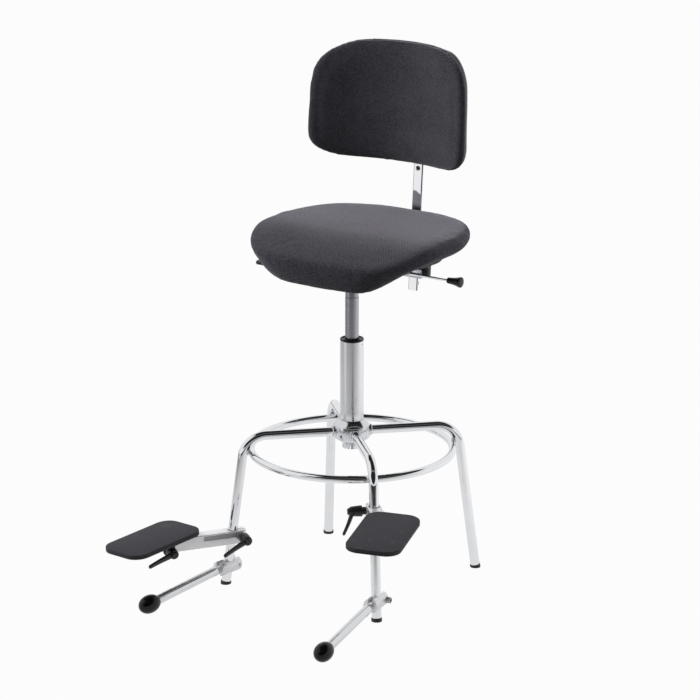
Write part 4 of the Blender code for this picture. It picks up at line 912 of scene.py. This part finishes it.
def shell_sheet():
    """The backrest's shell: a sheet bowed round the sitter, thickened, with a rounded rim."""
    bm = bmesh.new()
    bmesh.ops.create_grid(bm, x_segments=48, y_segments=36, size=1.0)
    for vert in bm.verts:
        x, z = back_outline(vert.co.x, vert.co.y, shell_share)
        vert.co = (x, -pad_bow * (x / pad_half_width) ** 2 - 0.0004, z)
    bmesh.ops.recalc_face_normals(bm, faces=bm.faces)
    if sum(face.normal.y for face in bm.faces) < 0:
        bmesh.ops.reverse_faces(bm, faces=bm.faces)
    bmesh.ops.solidify(bm, geom=bm.faces[:], thickness=shell_thick)
    bmesh.ops.recalc_face_normals(bm, faces=bm.faces)
    return softened(bm, 0.0012, sharper=50)


piece("backrest_shell", shell_sheet(), pad_frame, "backrest", "shell_grey", shell_grey, "back_shell")


def in_pad(points):
    """Points in the pad's own frame: across, forward and up."""
    return points @ to_pad[:3, :3].T + to_pad[:3, 3]


def pad_depth(points):
    """How far each point lies ahead of the shell's front face."""
    local = in_pad(points)
    return -(local[:, 1] + pad_bow * (local[:, 0] / pad_half_width) ** 2) - face_start


def pad_held(points):
    """The cover is drawn in behind the pad's rim."""
    return pad_depth(points) < tuck_depth


def pad_weave(points):
    """The weave runs across and up the bowed face and on round its sides."""
    local = in_pad(points)
    spread = local[:, 0] * (1 + 0.12 * (local[:, 0] / pad_half_width) ** 2)
    return np.stack([spread, local[:, 2] + 0.5 * pad_depth(points)], axis=1)


def pad_seam(points, normals):
    """The seam round the pad, between its face and the band at its side: a fine groove under pull."""
    across_seam = pad_depth(points) - seam_depth
    groove = np.exp(-((across_seam / seam_half) ** 2))
    swell = np.exp(-(((np.abs(across_seam) - ridge_off) / ridge_half) ** 2))
    side = 1 - np.abs(normals @ np.array(pad_frame.to_3x3() @ Vector((0, 1, 0)))) ** 4
    return normals * ((ridge_rise * swell - seam_pull * groove) * np.clip(side, 0, 1))[:, None]


pad = stuffed("backrest_pad_cover", "back_pad", inset=0.0026, most=0.0050, held_under=pad_held)
reshape(pad, pad_seam)
weave_map(pad, pad_weave)
dress(pad, "backrest", "back_cloth", back_wool, "back_pad")

# ---------------------------------------------------------------- footrests and stabilisers
arm_half, arm_nose, arm_drop, recess_depth, split_half = 0.014, 0.146, 0.006, 0.0014, 0.0015
mat_corner, half_long, half_wide = 0.031, 0.100, 0.056
plate_low, plate_high, mat_low, mat_top = 0.0241, 0.0271, 0.0274, 0.0339
tread_ahead, tread_aside, tread_yaw, ear_in, ear_out = 0.0345, 0.0168, 26.5, 0.0143, 0.0183
handle_height, handle_droop, fork_half = 0.027, 24.5, 0.005
clamp_height, pin_out, screw_in, clamp_reach = 0.040, 0.0225, 0.019, 0.030
tongue_half, ball_radius, ball_nose, ball_tail = 0.0078, 0.0191, 0.0255, 0.0273
footrests = {
    "right": {"sign": 1, "leg": "front_right", "height": 0.106, "heading": -33.5, "tilt": 3.0, "clamp": -15,
              "outer": -9, "stay_heading": -7.8, "stay": 0.2332},
    "left": {"sign": -1, "leg": "front_left", "height": 0.2232, "heading": 44.5, "tilt": 3.0, "clamp": -26,
             "outer": 6, "stay_heading": 8.6, "stay": 0.2456},
}


def handle():
    """A lever's handle: a flattened bar that tapers and ends in a round nose, slightly bowed."""
    root, tip, length, start, flat, bow = 0.0068, 0.0044, 0.0715, 0.004, 0.72, 0.0010
    taper_steps, nose_steps = 14, 6
    places, sizes = [], []
    for step in range(taper_steps + 1):
        share = step / taper_steps
        radius = root + (tip - root) * share**0.8
        places.append(shift(bow * math.sin(math.pi * share), 0, start + (length - tip - start) * share))
        sizes.append((radius * flat, radius))
    for step in range(1, nose_steps + 1):
        turn = math.radians(15 * step - 2)
        places.append(shift(0, 0, length - tip + tip * math.sin(turn)))
        sizes.append((tip * flat * math.cos(turn), tip * math.cos(turn)))
    return swept(places, sizes, steps=32)


def clamping_lever(name, node_name, body, place):
    """A moulded lever: a collar against the arm, a flared body with its handle, and the push button at its end."""
    body_shape = spun([(0, 0.0004), (0.0076, 0.0004), (0.0080, 0.0009), (0.0080, 0.0078), (0.0110, 0.0081),
                       (0.0115, 0.0087), (0.0115, 0.0100), (0.0111, 0.0170), (0.0104, 0.0260), (0.0097, 0.0318),
                       (0.0090, 0.0330), (0.0074, 0.0330), (0.0072, 0.0336), (0.0070, 0.0366), (0.0062, 0.0378),
                       (0.0040, 0.0380), (0, 0.0380)], steps=56)
    arm = handle(), shift(0, 0, handle_height) @ turn_y(90 - handle_droop)
    piece(name, joined((body_shape, as_is), arm), place, body, "black_plastic", nylon, node_name)


for side, own in footrests.items():
    sign, leg = own["sign"], own["leg"]
    prefix = f"footrest_{side}"
    here = leg_frame(leg, own["height"])
    arm_frame = leg_place(leg, own["height"]) @ turn_z(own["heading"] - 90)
    sleeve = spun([(0.0103, 0.0133), (0.0111, 0.0133), (0.0113, 0.0131), (0.0113, -0.0131), (0.0111, -0.0133),
                   (0.0103, -0.0133)], hollow=True)
    piece(f"{prefix}_bushing", sleeve, here, f"{prefix}_collar", "black_plastic", nylon, f"{prefix}_sleeve")

    arm = block((-0.029, -arm_half, -arm_half), (arm_nose + arm_half, arm_half, arm_half))
    arm = rounded(arm, lambda middle, run: abs(run.y) > parallel and middle.x > 0, arm_half - 0.0002, 10)
    arm = rounded(arm, lambda middle, run: abs(run.z) > parallel and middle.x < 0, 0.009, 7)
    arm = softened(arm, 0.0012, sharper=50, rounds=3)
    pocket = rounded(block((-0.008, arm_half - recess_depth, 0.001), (0.068, arm_half + 0.006, 0.011)), along(1),
                     0.0015, 3)
    cuts = [(rod(0.0116, -clamp_reach, clamp_reach), arm_frame.inverted() @ here),
            (block((-0.031, -split_half, -0.016), (-0.010, split_half, 0.016)), as_is),
            (pocket, as_is if sign > 0 else mirrored_y)]
    # The recess's faces take the darker material: painted shade in the recess.
    piece(f"{prefix}_cast_arm", carved(arm, *cuts), arm_frame, f"{prefix}_support", "cast_alloy", alloy,
          f"{prefix}_arm", edge=0.0004, patch_material=recess_painted_shade,
          patch=lambda c: (abs(c.y * sign - arm_half + recess_depth) < gap and 0 < c.z < 0.012
                           and -0.01 < c.x < 0.07))

    tilt_place = arm_frame @ shift(arm_nose, 0, -arm_drop) @ turn_y(own["tilt"])
    yawed = shift(tread_ahead, sign * tread_aside, 0) @ turn_z(sign * tread_yaw)
    sheet = block((-half_long, -half_wide, plate_low), (half_long, half_wide, plate_high))
    sheet = rounded(sheet, along(2), mat_corner, 12)
    lugs = [(softened(sheet, 0.0006, rounds=2), yawed)]
    for near in (-1, 1):
        low, high = sorted((near * ear_in, near * ear_out))
        ear = rounded(block((-0.013, low, -0.012), (0.013, high, 0.0256)),
                      lambda middle, run: abs(run.y) > parallel and middle.z < 0, 0.0090, 7)
        lugs.append((softened(ear, 0.0005, sharper=50, rounds=2), as_is))
    piece(f"{prefix}_foot_plate", joined(*lugs), tilt_place, f"{prefix}_tread", "dark_steel", coated,
          f"{prefix}_plate")
    mat = rounded(block((-half_long, -half_wide, mat_low), (half_long, half_wide, mat_top)), along(2), mat_corner, 12)
    mat = rounded(mat, lambda middle, run: middle.z > mat_top - 0.0001, 0.0016, 4)
    piece(f"{prefix}_rubber_mat", mat, tilt_place @ yawed, f"{prefix}_tread", "rubber_mat", rubber, f"{prefix}_mat")

    outward = turn_x(-90 * sign)
    clamp_hinge = arm_frame @ shift(-screw_in, sign * arm_half, 0) @ outward @ turn_z(-sign * own["clamp"])
    clamping_lever(f"{prefix}_clamping_lever", f"{prefix}_clamp_lever", f"{prefix}_inner_handle", clamp_hinge)
    tilt_hinge = arm_frame @ shift(arm_nose, sign * (arm_half + gap + 0.004), -arm_drop) @ outward
    clamping_lever(f"{prefix}_tilting_lever", f"{prefix}_tilt_lever", f"{prefix}_outer_handle",
                   tilt_hinge @ turn_z(-sign * own["outer"]))
    carried_over(steel, f"{prefix}_clamp_stud", f"{prefix}_tilt_stud")

    # the stabiliser on the same leg
    prefix = f"stabiliser_{side}"
    clamp_frame = leg_place(leg, clamp_height) @ turn_z(own["stay_heading"] - 90)
    screw_place = shift(-screw_in, 0, 0) @ turn_x(90 * sign)
    lying = along_x.inverted()
    barrel = spun([(0, 0.0300), (0.0142, 0.0300), (0.0155, 0.0294), (0.0160, 0.0280), (0.0160, -0.0250),
                   (0.0155, -0.0264), (0.0142, -0.0270), (0, -0.0270)], steps=72)
    cuts = [(rod(0.0103, -clamp_reach, clamp_reach), lying @ clamp_frame.inverted() @ leg_frame(leg, clamp_height)),
            (block((-0.029, -fork_half, -clamp_reach), (0.0, fork_half, clamp_reach)), lying),
            (block((0.0143, -fork_half, -clamp_reach), (0.032, fork_half, clamp_reach)), lying),
            (rod(0.0068, 0.0120, clamp_reach, steps=36), lying @ screw_place)]
    piece(f"{prefix}_cast_clamp", carved(barrel, *cuts), clamp_frame @ along_x, f"{prefix}_joint", "cast_alloy",
          alloy, f"{prefix}_clamp", edge=0.0004)
    top = 0.0243
    key = bmesh.new()
    bmesh.ops.create_circle(key, cap_ends=True, segments=6, radius=0.0036, matrix=shift(0, 0, top - 0.0045))
    raised = bmesh.ops.extrude_face_region(key, geom=key.faces[:], use_keep_orig=True)["geom"]
    bmesh.ops.translate(key, verts=verts_in(raised), vec=(0, 0, 0.006))
    head = spun([(0, top), (0.0058, top), (0.0065, top - 0.0007), (0.0065, 0.0163), (0.0040, 0.0163),
                 (0.0040, -0.0160), (0, -0.0160)], steps=48)
    piece(f"{prefix}_cap_screw", carved(head, (key, as_is)), clamp_frame @ screw_place, f"{prefix}_joint",
          "satin_steel", steel, f"{prefix}_screw")
    piece(f"{prefix}_pivot_pin", rod(0.0030, -0.0157, 0.0157, steps=32, soft=0.0004),
          clamp_frame @ shift(pin_out, 0, 0) @ across, f"{prefix}_joint", "satin_steel", steel, f"{prefix}_pin")

    reach = own["stay"] - pin_out
    slope = math.atan2(clamp_height - ball_radius, reach)
    fall = clamp_height - math.hypot(ball_radius * math.cos(slope), ball_nose * math.sin(slope))
    stay_place = clamp_frame @ shift(pin_out, 0, 0) @ turn_y(math.degrees(math.atan2(fall, reach)))
    length = math.hypot(fall, reach)
    tongue = [*arc(tongue_half, 90, 271, 12), (0.0200, -tongue_half), (0.0200, tongue_half)]
    tongue = slab(tongue, gap - fork_half, fork_half - gap, soft=0.0006, rounds=2), upright
    stay = spun([(0, length + 0.004), (0.010, length + 0.004), (0.010, 0.0150), (0.0092, 0.0132), (0.0080, 0.0125),
                 (0, 0.0125)], steps=64)
    piece(f"{prefix}_stay_tube", joined((stay, along_x), tongue), stay_place, f"{prefix}_leg", "chrome",
          satin_chrome, f"{prefix}_stay")
    neck = -ball_tail * math.sqrt(1 - (0.0128 / ball_radius) ** 2)
    dome = [(0, ball_nose)]
    for angle in range(87, -91, -3):
        height = math.sin(math.radians(angle)) * (ball_nose if angle > 0 else ball_tail)
        if height > neck:
            dome.append((ball_radius * math.cos(math.radians(angle)), height))
    skirt = [(0.0127, neck), (0.0124, neck - 0.0008), (0.0116, neck - 0.0010), (0.0105, neck - 0.0008),
             (0.0103, neck - 0.0004), (0.0103, 0.0043), (0, 0.0043)]
    ball = spun(dome + skirt, steps=72)
    piece(f"{prefix}_ball_foot", ball, stay_place @ shift(length, 0, 0) @ along_x, f"{prefix}_leg", "black_plastic",
          phenolic, f"{prefix}_ball")

# ---------------------------------------------------------------- floor, light and camera
floor = bmesh.new()
bmesh.ops.create_grid(floor, x_segments=1, y_segments=1, size=30.0, matrix=shift(0, 0, -gap))
floor = loose("floor", floor)
surface = bpy.data.materials.new("white_sweep")
tree = emptied(surface)
surface.cycles.emission_sampling = "NONE"  # it glows for the eye and for mirrors only, and lights nothing
to_viewer, to_side = (0.561, -0.828, 0.0), (0.828, 0.561, 0.0)
to_box, box_edge = (-0.545, -0.838, 0.0), (0.975, 0.985)


def mirrors(path):
    """One for a ray that a mirror sends out, else zero."""
    return maths("ADD", path["Is Glossy Ray"], path["Is Transmission Ray"], use_clamp=True)


path = node(tree, "ShaderNodeLightPath").outputs
mirrored = mirrors(path)
seen = maths("ADD", path["Is Camera Ray"], mirrored, use_clamp=True)
# In mirrors the sweep dims away from the stool on the viewer's side and on the far left, as a lit sweep does.
spot = node(tree, "ShaderNodeTexCoord").outputs["Object"]
near, side = (vector_maths("DOT_PRODUCT", spot, way) for way in (to_viewer, to_side))
dimmed = maths("MULTIPLY", ranged(near, 0.2, 2.8, 1.0, 0.05), ranged(side, -1.8, -0.9, 0.4, 1.0))
dimmed = maths("MULTIPLY", dimmed, ranged(side, 0.2, 1.1, 0.84, 1.0))
# The standing softbox on the left hides the floor behind it.
heading = vector_maths("DOT_PRODUCT", vector_maths("NORMALIZE", spot), to_box)
boxed = maths("MULTIPLY", ranged(heading, *box_edge), ranged(vector_maths("LENGTH", spot), 1.9, 2.1))
tone = mixed(mirrored, (1, 1, 1, 1), maths("MAXIMUM", dimmed, boxed))
matt = node(tree, "ShaderNodeBsdfDiffuse", {"Color": paint("#787878")})
glow = node(tree, "ShaderNodeEmission", {"Color": tone, "Strength": 1.0})
sweep = node(tree, "ShaderNodeMixShader", {0: maths("MULTIPLY", seen, 0.97), 1: matt.outputs[0], 2: glow.outputs[0]})
node(tree, "ShaderNodeOutputMaterial", {"Surface": sweep.outputs[0]})
floor.data.materials.append(surface)

# The room: white low down, and a dark ceiling that leans over the viewer and draws the black bands along the
# chrome. In it hang a wide softbox on the viewer's left, the standing one and a thin strip that splits the bands.
room = bpy.data.worlds.new("studio")
scene.world = room
tree = emptied(room)
path = node(tree, "ShaderNodeLightPath").outputs
look = node(tree, "ShaderNodeTexCoord").outputs["Generated"]


def toward(direction, low, high, to_low=0.0, to_high=1.0):
    """How nearly a ray runs in a direction, as a share between two cosines."""
    return ranged(vector_maths("DOT_PRODUCT", look, direction), low, high, to_low, to_high)


ceiling = toward((0.250, -0.370, 0.895), 0.46, 0.56)
panel = toward((-0.550, -0.500, 0.669), 0.88, 0.93, 1.0, 0.0)
level_look = vector_maths("NORMALIZE", vector_maths("MULTIPLY", look, (1.0, 1.0, 0.0)))
off_box = ranged(vector_maths("DOT_PRODUCT", level_look, to_box), *box_edge, 1.0, 0.0)
off_box = maths("MAXIMUM", off_box, toward((0.0, 0.0, 1.0), 0.70, 0.74))
dark = maths("MULTIPLY", maths("MULTIPLY", ceiling, panel), off_box)
off_strip = maths("ABSOLUTE", vector_maths("DOT_PRODUCT", look, (-0.583, 0.583, 0.537)))
radiance = mixed(dark, (0.9, 0.9, 0.9, 1.0), ranged(off_strip, 0.025, 0.055, 0.25, 0.02))
lit = node(tree, "ShaderNodeBackground", {"Color": paint("#f6f7fa"), "Strength": 0.24})
reflected = node(tree, "ShaderNodeBackground", {"Color": radiance, "Strength": 1.0})
behind = node(tree, "ShaderNodeBackground", {"Color": (1, 1, 1, 1), "Strength": 1.0})
inner = node(tree, "ShaderNodeMixShader", {0: mirrors(path), 1: lit.outputs[0], 2: reflected.outputs[0]})
outer = node(tree, "ShaderNodeMixShader", {0: path["Is Camera Ray"], 1: inner.outputs[0], 2: behind.outputs[0]})
node(tree, "ShaderNodeOutputWorld", {"Surface": outer.outputs[0]})


def softbox(name, place, aim_height, size, power):
    """A soft light that faces a height over the room's middle, unseen itself."""
    data = bpy.data.lights.new(name, "AREA")
    data.shape, data.size, data.size_y, data.energy = "RECTANGLE", *size, power
    lamp = bpy.data.objects.new(name, data)
    scene.collection.objects.link(lamp)
    lamp.location = place
    lamp.rotation_mode = "QUATERNION"
    lamp.rotation_quaternion = (Vector((0, 0, aim_height)) - Vector(place)).to_track_quat("-Z", "Y")
    lamp.visible_glossy = lamp.visible_camera = False


softbox("side_softbox", place=(-2.5, -1.1, 1.9), aim_height=0.8, size=(1.0, 1.6), power=82.0)
softbox("back_softbox", place=(0.3, 2.5, 2.6), aim_height=0.6, size=(2.2, 1.5), power=44.0)
softbox("right_softbox", place=(2.7, 0.5, 1.2), aim_height=0.7, size=(1.0, 1.2), power=15.0)

# The camera, solved from the photograph: its place, its three axes and its focal length in picture widths.
eye = column @ Vector((3.20879384, -4.74650072, 2.15584178))
to_right = Vector((0.82784102, 0.56096120, 0.00133497))
to_top = Vector((-0.15670078, 0.22896553, 0.96073912))
ahead = Vector((-0.53863171, 0.79554844, -0.27745012))
sensor_width, focal_widths = 36.0, 2848.25 / 700
lens = bpy.data.cameras.new("view")
lens.sensor_width, lens.lens = sensor_width, sensor_width * focal_widths
lens.clip_start, lens.clip_end = 0.1, 100.0
camera = bpy.data.objects.new("view", lens)
scene.collection.objects.link(camera)
camera.matrix_world = Matrix.Translation(eye) @ Matrix((to_right, to_top, -ahead)).transposed().to_4x4()
scene.camera = camera
scene.view_settings.view_transform = "Standard"
